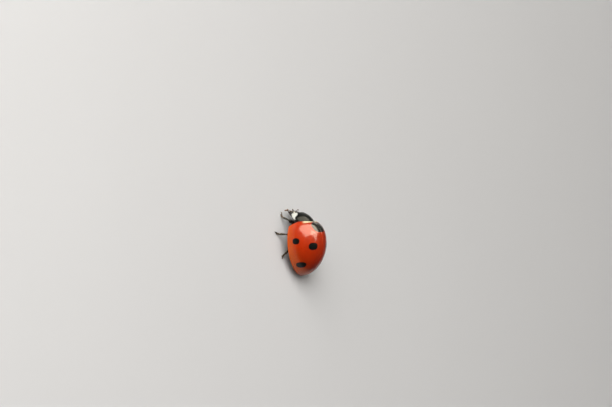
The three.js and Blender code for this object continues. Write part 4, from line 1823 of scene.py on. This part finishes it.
@dataclass
class Head:
    """The head with its eyes, mouthparts, feelers and palps."""

    shop: Workshop
    centre: Point = (0.0, -3.45, 1.0)
    tilt: float = math.radians(31)
    half_length: float = 0.56
    half_width: float = 0.6
    half_depth: float = 0.34

    def set_in(self, points: Sequence) -> Array:
        """Returns points of the head's own frame, set in the part's frame."""
        return self.shop.stance.ground(tilted(points, self.tilt) + np.array(self.centre))

    def capsule(self) -> Form:
        """Shapes the head's shell: crown, face with its shield and shallow hollows.

        Returns:
            The shell.
        """
        heights = 2 * eased(72)[1:-1] - 1
        angle = np.linspace(0, 2 * np.pi, 112, endpoint=False)
        height, turn = np.meshgrid(heights, angle, indexing="ij")
        taper = np.where(height < 0, 1 + 0.38 * height, 1.0)
        round_ = (1 - np.abs(height) ** 3) ** 0.45
        x = self.half_width * taper * round_ * signed_power(np.cos(turn), 0.8)
        y = self.half_depth * round_ * signed_power(np.sin(turn), 0.8)
        face = ramp(-y, 0.05, 0.28)
        waist = 0.05 * hump(height, -0.42, 0.22) * ramp(np.abs(x), 0.2, 0.42)
        x = x - np.sign(x) * waist
        pits = 0.028 * bell(np.abs(x), 0.3, 0.11) * bell(height, -0.28, 0.16)
        seam = 0.014 * bell(height, -0.5 - 0.14 * np.cos(x * 4), 0.035)
        brow = 0.02 * bell(x, 0.0, 0.3) * bell(height, 0.1, 0.35)
        y = y + face * (pits + seam - brow)
        z = height * self.half_length
        notch = 0.07 * bell(x, 0.0, 0.17) * ramp(height, -0.7, -0.98)
        rings = np.stack([x, y, z + notch], -1)
        poles = [np.array([0, 0, -self.half_length + 0.07]), np.array([0, 0, self.half_length])]
        return loft(rings, *poles)

    def cheeks(self) -> list[Form]:
        """Makes the narrow ridges that cut into the eyes, and the sockets of the feelers.

        Returns:
            The left ones, then the right ones.
        """
        share = np.linspace(0, 1, 20)
        path = through([0, 0.5, 1], [[0.42, -0.26, -0.12], [0.56, -0.245, -0.02], [0.66, -0.2, 0.05]],
                       share)
        end = rounded(share, 0.3, 0.5)
        ridge = spindle(path, 0.035 * end, 0.03 * end, (0, -1, 0.3), sides=14)
        turn = np.linspace(0, 2 * np.pi, 37)[:-1]
        profile = ((0.075, 0.0), (0.082, 0.03), (0.075, 0.05), (0.058, 0.055), (0.045, 0.035),
                   (0.03, 0.02))
        socket = loft(np.stack([
            np.stack([0.42 + radius * np.cos(turn), np.full_like(turn, -0.265 - out),
                      -0.2 + radius * np.sin(turn)], -1) for radius, out in profile]))
        return [ridge, socket, ridge.mirrored(), socket.mirrored()]

    def labrum(self) -> Form:
        """Shapes the upper lip, a short rounded flap with a notched edge.

        Returns:
            The lip.
        """
        share = np.linspace(0, 1, 26)
        half = through([0, 0.3, 0.7, 1], [0.22, 0.265, 0.255, 0.2], share)
        path = np.stack([share * 0, -0.02 - 0.05 * share, -0.55 - 0.165 * share], -1)
        wide = half * rounded(share, 0.1, 0.35)
        high = 0.12 * rounded(share, 0.1, 0.6)
        form = spindle(path, wide, high, (0, -1, 0), sides=48, power=0.8)
        x, y, z = form.points.T
        z = z + 0.05 * bell(x, 0.0, 0.09) * ramp(z, -0.62, -0.7)
        return replace(form, points=np.stack([x, y, z], -1))

    def jaws(self) -> list[Form]:
        """Makes the jaws beneath the lip, the two short palps between them, and the chin.

        Returns:
            The left ones, the right ones and the chin.
        """
        share = np.linspace(0, 1, 24)
        path = through([0, 0.5, 1], [[0.3, 0.02, -0.46], [0.29, 0.0, -0.62], [0.1, -0.02, -0.73]], share)
        end = rounded(share, 0.2, 0.9)
        jaw = spindle(path, 0.075 * end, 0.06 * end, (0, -1, 0), sides=18)
        lip = through([0, 0.5, 1], [[0.09, 0.17, -0.5], [0.11, 0.18, -0.6], [0.08, 0.16, -0.68]], share)
        girth = through([0, 0.4, 0.5, 0.8, 1], [0.03, 0.034, 0.024, 0.036, 0.02], share)
        girth = girth * rounded(share, 0.1, 0.2)
        small = spindle(lip, girth, girth, (0, 1, 0), sides=14)
        end = rounded(share, 0.3, 0.3)
        chin = spindle(through([0, 1], [[0, 0.2, -0.25], [0, 0.17, -0.56]], share), 0.2 * end, 0.1 * end,
                       (0, 1, 0), sides=24)
        return [jaw, small, jaw.mirrored(), small.mirrored(), chin]

    def eye(self, name: str, finish: Material) -> Piece:
        """Makes the left eye: a domed base closely set with facets.

        Args:
            name: the piece's name.
            finish: its material.

        Returns:
            The piece.
        """
        middle = np.array([0.57, -0.02, 0.1])
        radii = np.array([0.262, 0.225, 0.285])
        count = 2300
        k = np.arange(count) + 0.5
        rise = 1 - 2 * k / count
        turn = np.pi * (1 + 5 ** 0.5) * k
        flat = np.sqrt(1 - rise ** 2)
        sphere = np.stack([rise, flat * np.cos(turn), flat * np.sin(turn)], -1)
        seen = (sphere[:, 0] > -0.12) & ~(
            (np.abs(sphere[:, 2] + 0.22) < 0.13) & (sphere[:, 1] < -0.5) & (sphere[:, 0] < 0.5))
        sphere = sphere[seen]
        points = self.set_in(middle + sphere * radii)
        normal = tilted(sphere / radii, self.tilt)
        across = math.sqrt(4 * math.pi / count) * 0.25 * 1.16
        marks = {"aim": unit(normal), "side": np.tile([0.0, 1.0, 0.3], (len(points), 1)),
                 "size": np.full((len(points), 3), across) * MM}
        source = Form(points, marks=marks).source(name + "_points")
        facets = self.shop.tools.copy.run(name, source, Shape=self.shop.tools.facet, Finish=finish)
        share = np.linspace(0, 1, 34)
        path = np.stack([middle[0] - 0.2 + 0.46 * share, np.full_like(share, middle[1]),
                         np.full_like(share, middle[2])], -1)
        lean = np.clip((path[:, 0] - middle[0]) / radii[0], -1, 0.999)
        girth = np.sqrt(1 - lean ** 2)
        base = spindle(path, girth * radii[1] * 0.985, girth * radii[2] * 0.985, (0, 0, 1), sides=48)
        dome = self.shop.piece(base.placed(self.set_in), name + "_base", finish)
        with bpy.context.temp_override(active_object=facets, selected_editable_objects=[facets, dome]):
            bpy.ops.object.join()
        return facets

    def build(self) -> None:
        """Builds and dresses the head and all that it carries."""
        shop = self.shop
        self.build_shells()
        finish = EyeFinish().material(shop.groups)
        shop.finish_both(self.eye("eye_facets_left", finish), "eye", "eye", sharp=75)
        self.build_feelers()

    def build_shells(self) -> None:
        """Builds the head's shell, lip and jaws."""
        shop = self.shop
        black = ChitinFinish("head_shell", base=linear(18, 18, 19), warmth=0.15, coat=0.5,
                             pits_per_mm=15.0, pit_size=0.36, depth=0.005)
        axes = tilted([(1, 0, 0), (0, 0, 1)], self.tilt)
        eye_spot = (self.set_in([0.4, -0.3, 0.08]), axes, (0.1, 0.075))
        shell = joined([self.capsule(), *self.cheeks()]).placed(self.set_in)
        skin = black.material(shop.groups, [eye_spot], 0.12)
        shop.place(shell, "head_shell", skin, "head", "head")
        brown = ChitinFinish("mouthparts", base=linear(30, 22, 17), warm=linear(110, 62, 28), warmth=0.7,
                             coat=0.4, pits_per_mm=20.0, depth=0.003)
        mouth = joined([self.labrum(), *self.jaws()]).placed(self.set_in)
        shop.place(mouth, "labrum_and_jaws", brown.material(shop.groups), "labrum", "labrum")

    def build_feelers(self) -> None:
        """Builds the feelers and the palps."""
        shop, ground = self.shop, self.shop.stance.ground
        brown = ChitinFinish("feeler", base=linear(58, 36, 20), warm=linear(128, 84, 44), warmth=0.7,
                             gloss=0.38, coat=0.2, pits_per_mm=26.0, depth=0.002).material(shop.groups)
        t = np.linspace(0, 1, 60)[:, None]
        a, b, c = (np.array(p) for p in ((0.42, -3.75, 0.92), (0.88, -4.02, 0.92), (1.32, -3.94, 0.65)))
        path = ground((1 - t) ** 2 * a + 2 * t * (1 - t) * b + t ** 2 * c)
        lengths = (0.17, 0.075, 0.13, 0.075, 0.075, 0.07, 0.065, 0.06, 0.095, 0.09, 0.11)
        radii = (0.058, 0.043, 0.029, 0.029, 0.03, 0.032, 0.035, 0.04, 0.06, 0.075, 0.066)
        left = shop.tools.feeler("antenna_joints_left", path, lengths, radii, brown)
        shop.finish_both(left, "feeler", "antenna", sharp=60)
        shop.pair(self.palp().placed(ground), "palp_joints", brown, "feeler", "palp")

    def palp(self) -> Form:
        """Shapes the left palp: two short joints and a broad hatchet-shaped last one.

        Returns:
            The palp.
        """
        share = np.linspace(0, 1, 22)
        start, knee, bend, tip = (np.array(p) for p in (
            (0.26, -3.63, 0.57), (0.4, -3.83, 0.54), (0.49, -3.9, 0.52), (0.6, -4.08, 0.48)))
        forms = []
        for p, q, low, high in ((start, knee, 0.03, 0.05), (knee, bend, 0.036, 0.052)):
            girth = lerp(low, high, share) * rounded(share, 0.15, 0.25)
            forms.append(spindle(lerp(p, q, share[:, None]), girth, girth, (0, 0, 1), sides=18))
        wide = through([0, 0.25, 0.8, 1], [0.04, 0.085, 0.15, 0.14], share) * rounded(share, 0.1, 0.14)
        high = through([0, 0.4, 1], [0.04, 0.06, 0.045], share) * rounded(share, 0.1, 0.3)
        hatchet = spindle(lerp(bend - (tip - bend) * 0.06, tip, share[:, None]), wide, high, (0.3, 0, 1),
                          sides=28)
        return joined([*forms, hatchet])


@dataclass
class Leg:
    """One pair of legs, given by the left one's joints above the floor."""

    shop: Workshop
    pair: str
    hip: Point
    knee: Point
    ankle: Point
    toe: Point
    spurs: bool
    seed: int

    def segment(self, start: Array, end: Array, bow: Array, stations: Sequence[float],
                wide: Sequence[float], high: Sequence[float], ends: tuple[float, float],
                up: Sequence[float], sides: int = 28) -> Form:
        """Closed segment between two points.

        Args:
            start: its near end.
            end: its far end.
            bow: how far its middle is moved aside.
            stations: shares of its length.
            wide: half width at each station.
            high: half height at each station.
            ends: shares over which its two ends are rounded.
            up: the way that its heights lean.
            sides: points round it.

        Returns:
            The segment.
        """
        share = eased(40)
        path = lerp(start, end, share[:, None]) + np.sin(np.pi * share)[:, None] * bow
        round_ = rounded(share, *ends)
        return spindle(path, through(stations, wide, share) * round_,
                       through(stations, high, share) * round_, up, sides)

    def coxa(self) -> Form:
        """Shapes the coxa, a barrel lying across the underside.

        Returns:
            The coxa.
        """
        hip = np.array(self.hip)
        share = np.linspace(0, 1, 34)
        path = hip + (share[:, None] - 0.5) * np.array([0.62, 0, 0.02])
        girth = rounded(share, 0.5, 0.45)
        wrinkle = 1 + 0.02 * np.sin(share * 40) * hump(share, 0.85, 0.15)
        return spindle(path, 0.23 * girth * wrinkle, 0.2 * girth * wrinkle, (0, 0, 1), 36)

    def femur(self) -> Form:
        """Shapes the femur with its small trochanter.

        Returns:
            Both as one form.
        """
        socket = np.array(self.hip) + [0.24, 0, 0.0]
        knee = np.array(self.knee)
        run = knee - socket
        out = unit(run)
        bow = np.array([0, 0, 0.03])
        femur = self.segment(socket + run * 0.08, knee + out * 0.02, bow, [0, 0.15, 0.4, 0.7, 0.9, 1],
                             [0.1, 0.15, 0.19, 0.17, 0.125, 0.11], [0.1, 0.16, 0.2, 0.18, 0.135, 0.115],
                             (0.1, 0.12), (0, 0, 1), 36)
        x, y, z = femur.points.T
        along = femur.marks["along"]
        keel = ramp(along, 0.45, 0.7) * ramp(along, 1.02, 0.9)
        axis = socket + run * along[:, None]
        near = bell((femur.points - axis) @ unit(np.cross(out, [0, 0, 1])), 0.0, 0.05)
        z = z + 0.05 * near * keel * (z < axis[:, 2])
        femur = replace(femur, points=np.stack([x, y, z], -1))
        trochanter = self.segment(socket - out * 0.03, socket + run * 0.16, bow * 0, [0, 0.5, 1],
                                  [0.09, 0.125, 0.11], [0.09, 0.12, 0.11], (0.3, 0.3), (0, 0, 1))
        return joined([trochanter, femur])

    def tibia(self) -> Form:
        """Shapes the tibia, with spurs at its end on the middle and hind legs.

        Returns:
            The tibia.
        """
        knee, ankle = np.array(self.knee), np.array(self.ankle)
        out = unit(ankle - knee)
        bow = np.array([0, 0, 0.028])
        tibia = self.segment(knee - out * 0.02, ankle + out * 0.015, bow, [0, 0.06, 0.14, 0.45, 0.8, 1],
                             [0.085, 0.088, 0.068, 0.095, 0.118, 0.125],
                             [0.08, 0.088, 0.066, 0.088, 0.1, 0.1], (0.05, 0.05), (0, 0, 1))
        forms = [tibia]
        if self.spurs:
            side = unit(np.cross(out, [0, 0, 1]))
            share = np.linspace(0, 1, 10)
            for sign in (1, -1):
                start = ankle - out * 0.03 + side * 0.055 * sign - np.array([0, 0, 0.04])
                tip = start + out * 0.1 + side * 0.02 * sign - np.array([0, 0, 0.04])
                girth = 0.016 * (1 - share) + 0.0015
                forms.append(spindle(lerp(start, tip, share[:, None]), girth, girth, (0.1, 0.2, 1), 8))
        return joined(forms)

    def tarsus(self) -> Form:
        """Shapes the foot: two padded joints, a slender one, and two toothed claws.

        Returns:
            The foot.
        """
        ankle, toe = np.array(self.ankle), np.array(self.toe)
        run = (toe - ankle) * [1, 1, 0]
        length = np.linalg.norm(run)
        ahead = run / length
        side = np.array([ahead[1], -ahead[0], 0.0])

        def at(share: float, z: float, aside: float = 0.0) -> Array:
            """Returns the place at a share of the foot, a height and a step aside."""
            return (ankle + run * share) * [1, 1, 0] + side * aside + np.array([0, 0, z])

        up = (0, 0, 1)
        none = np.zeros(3)
        forms = [self.segment(
            at(-0.02, self.ankle[2] - 0.01), at(0.34, 0.1), none, [0, 0.3, 0.8, 1],
            [0.05, 0.07, 0.11, 0.115], [0.05, 0.06, 0.065, 0.055], (0.1, 0.2), up)]
        for sign in (1, -1):
            forms.append(self.segment(at(0.28, 0.095, 0.02 * sign), at(0.68, 0.052, 0.075 * sign), none,
                                      [0, 0.4, 0.8, 1], [0.05, 0.075, 0.085, 0.07],
                                      [0.045, 0.05, 0.05, 0.045], (0.2, 0.4), up))
        forms.append(self.segment(at(0.4, 0.085), at(0.52, 0.1), none, [0, 1], [0.035, 0.045],
                                  [0.035, 0.04], (0.3, 0.3), up, 16))
        forms.append(self.segment(
            at(0.44, 0.095), at(0.87, 0.09), np.array([0, 0, 0.045]), [0, 0.5, 0.9, 1],
            [0.026, 0.034, 0.05, 0.045], [0.026, 0.032, 0.046, 0.04], (0.1, 0.15), up, 20))
        share = np.linspace(0, 1, 18)
        for sign in (1, -1):
            knots = [at(0.85, 0.09, 0.015 * sign), at(0.93, 0.1, 0.045 * sign),
                     at(0.985, 0.065, 0.075 * sign), at(0.995, 0.008, 0.09 * sign)]
            claw = through([0, 0.35, 0.7, 1], knots, share)
            girth = through([0, 0.3, 1], [0.026, 0.024, 0.003], share) * rounded(share, 0.1, 0.04)
            forms.append(spindle(claw, girth, girth, side, 12))
            tooth = lerp(claw[5], at(0.925, 0.03, 0.05 * sign), share[:, None])
            point = 0.02 * (1 - share) + 0.002
            forms.append(spindle(tooth, point, point, side, 10))
        return joined(forms)

    def build(self, shell: Material, foot: Material,
              hair: Material) -> None:
        """Builds and dresses the pair.

        Args:
            shell: finish of the upper segments.
            foot: finish of the feet.
            hair: finish of the hairs.
        """
        shop, ground = self.shop, self.shop.stance.ground
        knee, ankle, toe = (np.array(p) for p in (self.knee, self.ankle, self.toe))
        segments = {"coxa": self.coxa(), "femur": self.femur(), "tibia": self.tibia(),
                    "tarsus": self.tarsus()}
        for name, form in segments.items():
            finish = foot if name == "tarsus" else shell
            full = f"{self.pair}_{name}"
            shop.pair(form.placed(ground), full + "_shell", finish, "leg", full)
        floor = 0.03
        tiles = []
        for index, (name, comb, least_hair, more_hair) in enumerate((
                ("femur", knee - np.array(self.hip), 0.0, 0.4), ("tibia", ankle - knee, 0.35, 0.65),
                ("tarsus", toe - ankle, 0.7, 0.0))):
            part = segments[name]
            along, points = part.marks["along"], part.points
            tiles.append(part.marked(
                hair=(least_hair + more_hair * along) * (points[:, 2] > floor),
                comb=np.tile(unit(comb), (len(points), 1)), along=(along + index) / 3))
        skin = joined(tiles).placed(ground)
        name = f"{self.pair}_leg_setae_left"
        shop.setae(skin, name, "leg", hair, per_mm2=520, length=0.075, thickness=0.005, lean=1.3,
                   seed=self.seed, both=True)


LEG_JOINTS = {
    "fore": ((0.42, -2.62, 0.84), (1.3, -2.82, 0.96), (1.28, -3.24, 0.3), (1.12, -3.88, 0.0)),
    "mid": ((0.62, -1.12, 0.6), (1.82, -1.36, 0.8), (2.4, -1.5, 0.28), (3.06, -1.78, 0.0)),
    "hind": ((0.5, -0.2, 0.47), (1.52, 0.12, 0.62), (2.12, 0.62, 0.28), (2.58, 1.08, 0.0)),
}


def build_legs(shop: Workshop) -> None:
    """Builds the three pairs of legs.

    Args:
        shop: the workshop.
    """
    shell = ChitinFinish("leg_shell", base=linear(19, 17, 16), warm=linear(60, 36, 20), warmth=0.45,
                         gloss=0.32, coat=0.3, pits_per_mm=22.0, depth=0.003).material(shop.groups)
    foot = ChitinFinish("foot_shell", base=linear(40, 27, 18), warm=linear(96, 60, 32), warmth=0.6,
                        gloss=0.36, coat=0.25, pits_per_mm=28.0, depth=0.002).material(shop.groups)
    hair = HairFinish("leg_setae").material(shop.groups)
    for index, (pair, joints) in enumerate(LEG_JOINTS.items()):
        Leg(shop, pair, *joints, spurs=pair != "fore", seed=21 + index).build(shell, foot, hair)


# Floor, light and camera
class LightUse(Enum):
    """What a light is for."""

    SHADE = "lights surfaces, without a reflection"
    GLOSS = "shows only as a reflection in glossy shells"


@dataclass
class Studio:
    """Pale floor, soft light and the camera."""

    floor_radii: tuple[float, ...] = (0.004, 0.012, 0.03, 0.07, 0.15, 0.4)
    pale: Colour = (0.46, 0.465, 0.475)
    floor_lift: float = 1.42
    lamp_aim: float = 1.2
    light: Colour = (1.0, 0.97, 0.93)
    reflection: Colour = (1.0, 0.9, 0.7)
    azimuth: float = math.radians(95.848)
    elevation: float = math.radians(31.586)
    roll: float = math.radians(77.087)
    aim: Point = (-0.076, -3.758, 2.544)
    distance: float = 0.3509
    lens: float = 195.0

    def floor(self) -> None:
        """Lays the floor, a flat disc."""
        radii = np.array(self.floor_radii) / MM
        angle = np.linspace(0, 2 * np.pi, 96, endpoint=False)
        rings = np.stack([
            np.stack([r * np.cos(angle), r * np.sin(angle), angle * 0], -1) for r in radii])
        made = bpy.data.meshes.new("floor")
        index = np.arange(rings[..., 0].size).reshape(rings.shape[:2])
        nxt = np.roll(index, -1, axis=1)
        quads = np.stack([index[:-1], index[1:], nxt[1:], nxt[:-1]], -1).reshape(-1, 4)
        made.from_pydata((rings.reshape(-1, 3) * MM).tolist(), [], [*quads.tolist(), index[0].tolist()])
        made.update()
        material = bpy.data.materials.new("floor")
        material.use_nodes = True
        graph = Graph(material.node_tree)
        shader = material.node_tree.nodes["Principled BSDF"]
        place = graph.node("ShaderNodeTexCoord").outputs["Object"]
        seen = graph.term(graph.node("ShaderNodeLightPath").outputs["Is Camera Ray"])
        tone = (1.0 + (noise(graph, place, 40.0) - 0.5) * 0.03) * lerp(1.0, self.floor_lift, seen)
        graph.feed(shader.inputs["Base Color"], graph.vector(*(tone * v for v in self.pale)))
        shader.inputs["Roughness"].default_value = 0.75
        shader.inputs["Specular IOR Level"].default_value = 0.15
        made.materials.append(material)
        floor = put("floor", made)

    def panel(self, name: str, azimuth: float, elevation: float, distance: float,
              size: tuple[float, float], power: float, use: LightUse) -> None:
        """Hangs a soft light that faces the animal.

        Args:
            name: its name.
            azimuth: where it is, 0 ahead of the head and 90 on the animal's left, in degrees.
            elevation: its height above the horizon, in degrees.
            distance: how far away it is, in metres.
            size: its width and height, in metres.
            power: its power in watts.
            use: what it is for.
        """
        data = bpy.data.lights.new(name, "AREA")
        data.shape = "RECTANGLE"
        data.size, data.size_y = size
        data.energy = power
        data.color = self.light if use is LightUse.SHADE else self.reflection
        axes = self.axes(math.radians(azimuth), math.radians(elevation))
        lamp = put(name, data, self.place(axes, [0, 0, self.lamp_aim * MM], distance))
        lamp.visible_glossy = use is LightUse.GLOSS
        lamp.visible_diffuse = use is LightUse.SHADE

    def world(self, colour: Colour, strength: float, backdrop: float) -> None:
        """Sets the even light that fills the shadows, and the paler backdrop behind the floor.

        Args:
            colour: its colour.
            strength: how strongly it lights the animal.
            backdrop: how pale it looks.
        """
        world = bpy.data.worlds.new("studio")
        world.use_nodes = True
        graph = Graph(world.node_tree)
        shade = world.node_tree.nodes["Background"]
        shade.inputs["Color"].default_value = (*colour, 1.0)
        seen = graph.term(graph.node("ShaderNodeLightPath").outputs["Is Camera Ray"])
        graph.feed(shade.inputs["Strength"], lerp(strength, backdrop, seen))
        bpy.context.scene.world = world

    def axes(self, azimuth: float, elevation: float) -> tuple[Array, Array, Array]:
        """Directions of a level view of the animal.

        Args:
            azimuth: where it is seen from, 0 ahead of the head and 90 degrees on its left.
            elevation: height of the view above the horizon.

        Returns:
            The view's right, its up, and the way back to the viewer.
        """
        c, s = math.cos(azimuth), math.sin(azimuth)
        back = np.array([s * math.cos(elevation), -c * math.cos(elevation), math.sin(elevation)])
        right = np.array([c, s, 0.0])
        return right, np.cross(back, right), back

    @staticmethod
    def place(axes: Sequence[Array], aim: Sequence[float], distance: float) -> Matrix:
        """Finds where a lamp or camera stands.

        Args:
            axes: its right, its up and its way back.
            aim: the point it looks at.
            distance: its distance from there.

        Returns:
            Its place and turn.
        """
        turn = Matrix(axes).transposed().to_4x4()
        turn.translation = axes[2] * distance + np.array(aim)
        return turn

    def camera(self) -> None:
        """Sets the camera."""
        data = bpy.data.cameras.new("camera")
        data.lens = self.lens
        data.sensor_width = 36.0
        data.clip_start, data.clip_end = 0.01, 5.0
        level, above, back = self.axes(self.azimuth, self.elevation)
        c, s = math.cos(self.roll), math.sin(self.roll)
        axes = level * c + above * s, above * c - level * s, back
        aim = np.array(self.aim) * MM
        bpy.context.scene.camera = put("camera", data, self.place(axes, aim, self.distance))

    def build(self) -> None:
        """Builds the studio round the animal."""
        self.floor()
        self.panel("sky", 4, 52, 0.25, (0.46, 0.26), 2.5, LightUse.GLOSS)
        self.panel("high sky", -38, 76, 0.25, (0.16, 0.1), 0.34, LightUse.GLOSS)
        self.panel("key", 46, 36, 0.28, (0.3, 0.3), 1.3, LightUse.SHADE)
        self.panel("overhead", 0, 88, 0.8, (1.0, 1.0), 1.7, LightUse.SHADE)
        self.world((1.0, 0.985, 0.96), 0.05, 0.55)
        self.camera()
        bpy.context.scene.view_settings.view_transform = "Standard"


def main() -> None:
    """Builds the animal and its studio."""
    logging.basicConfig(level=logging.INFO, format="%(name)s: %(message)s")
    stance = stance_in_frame()
    Studio().build()
    shop = Workshop(stance, Tools(), Groups())
    WingCases(shop).build()
    NeckShield(shop).build()
    NeckAndScutellum(shop).build()
    Underside(shop).build()
    Head(shop).build()
    build_legs(shop)
    shop.tools.clear()


if __name__ == "__main__":
    main()
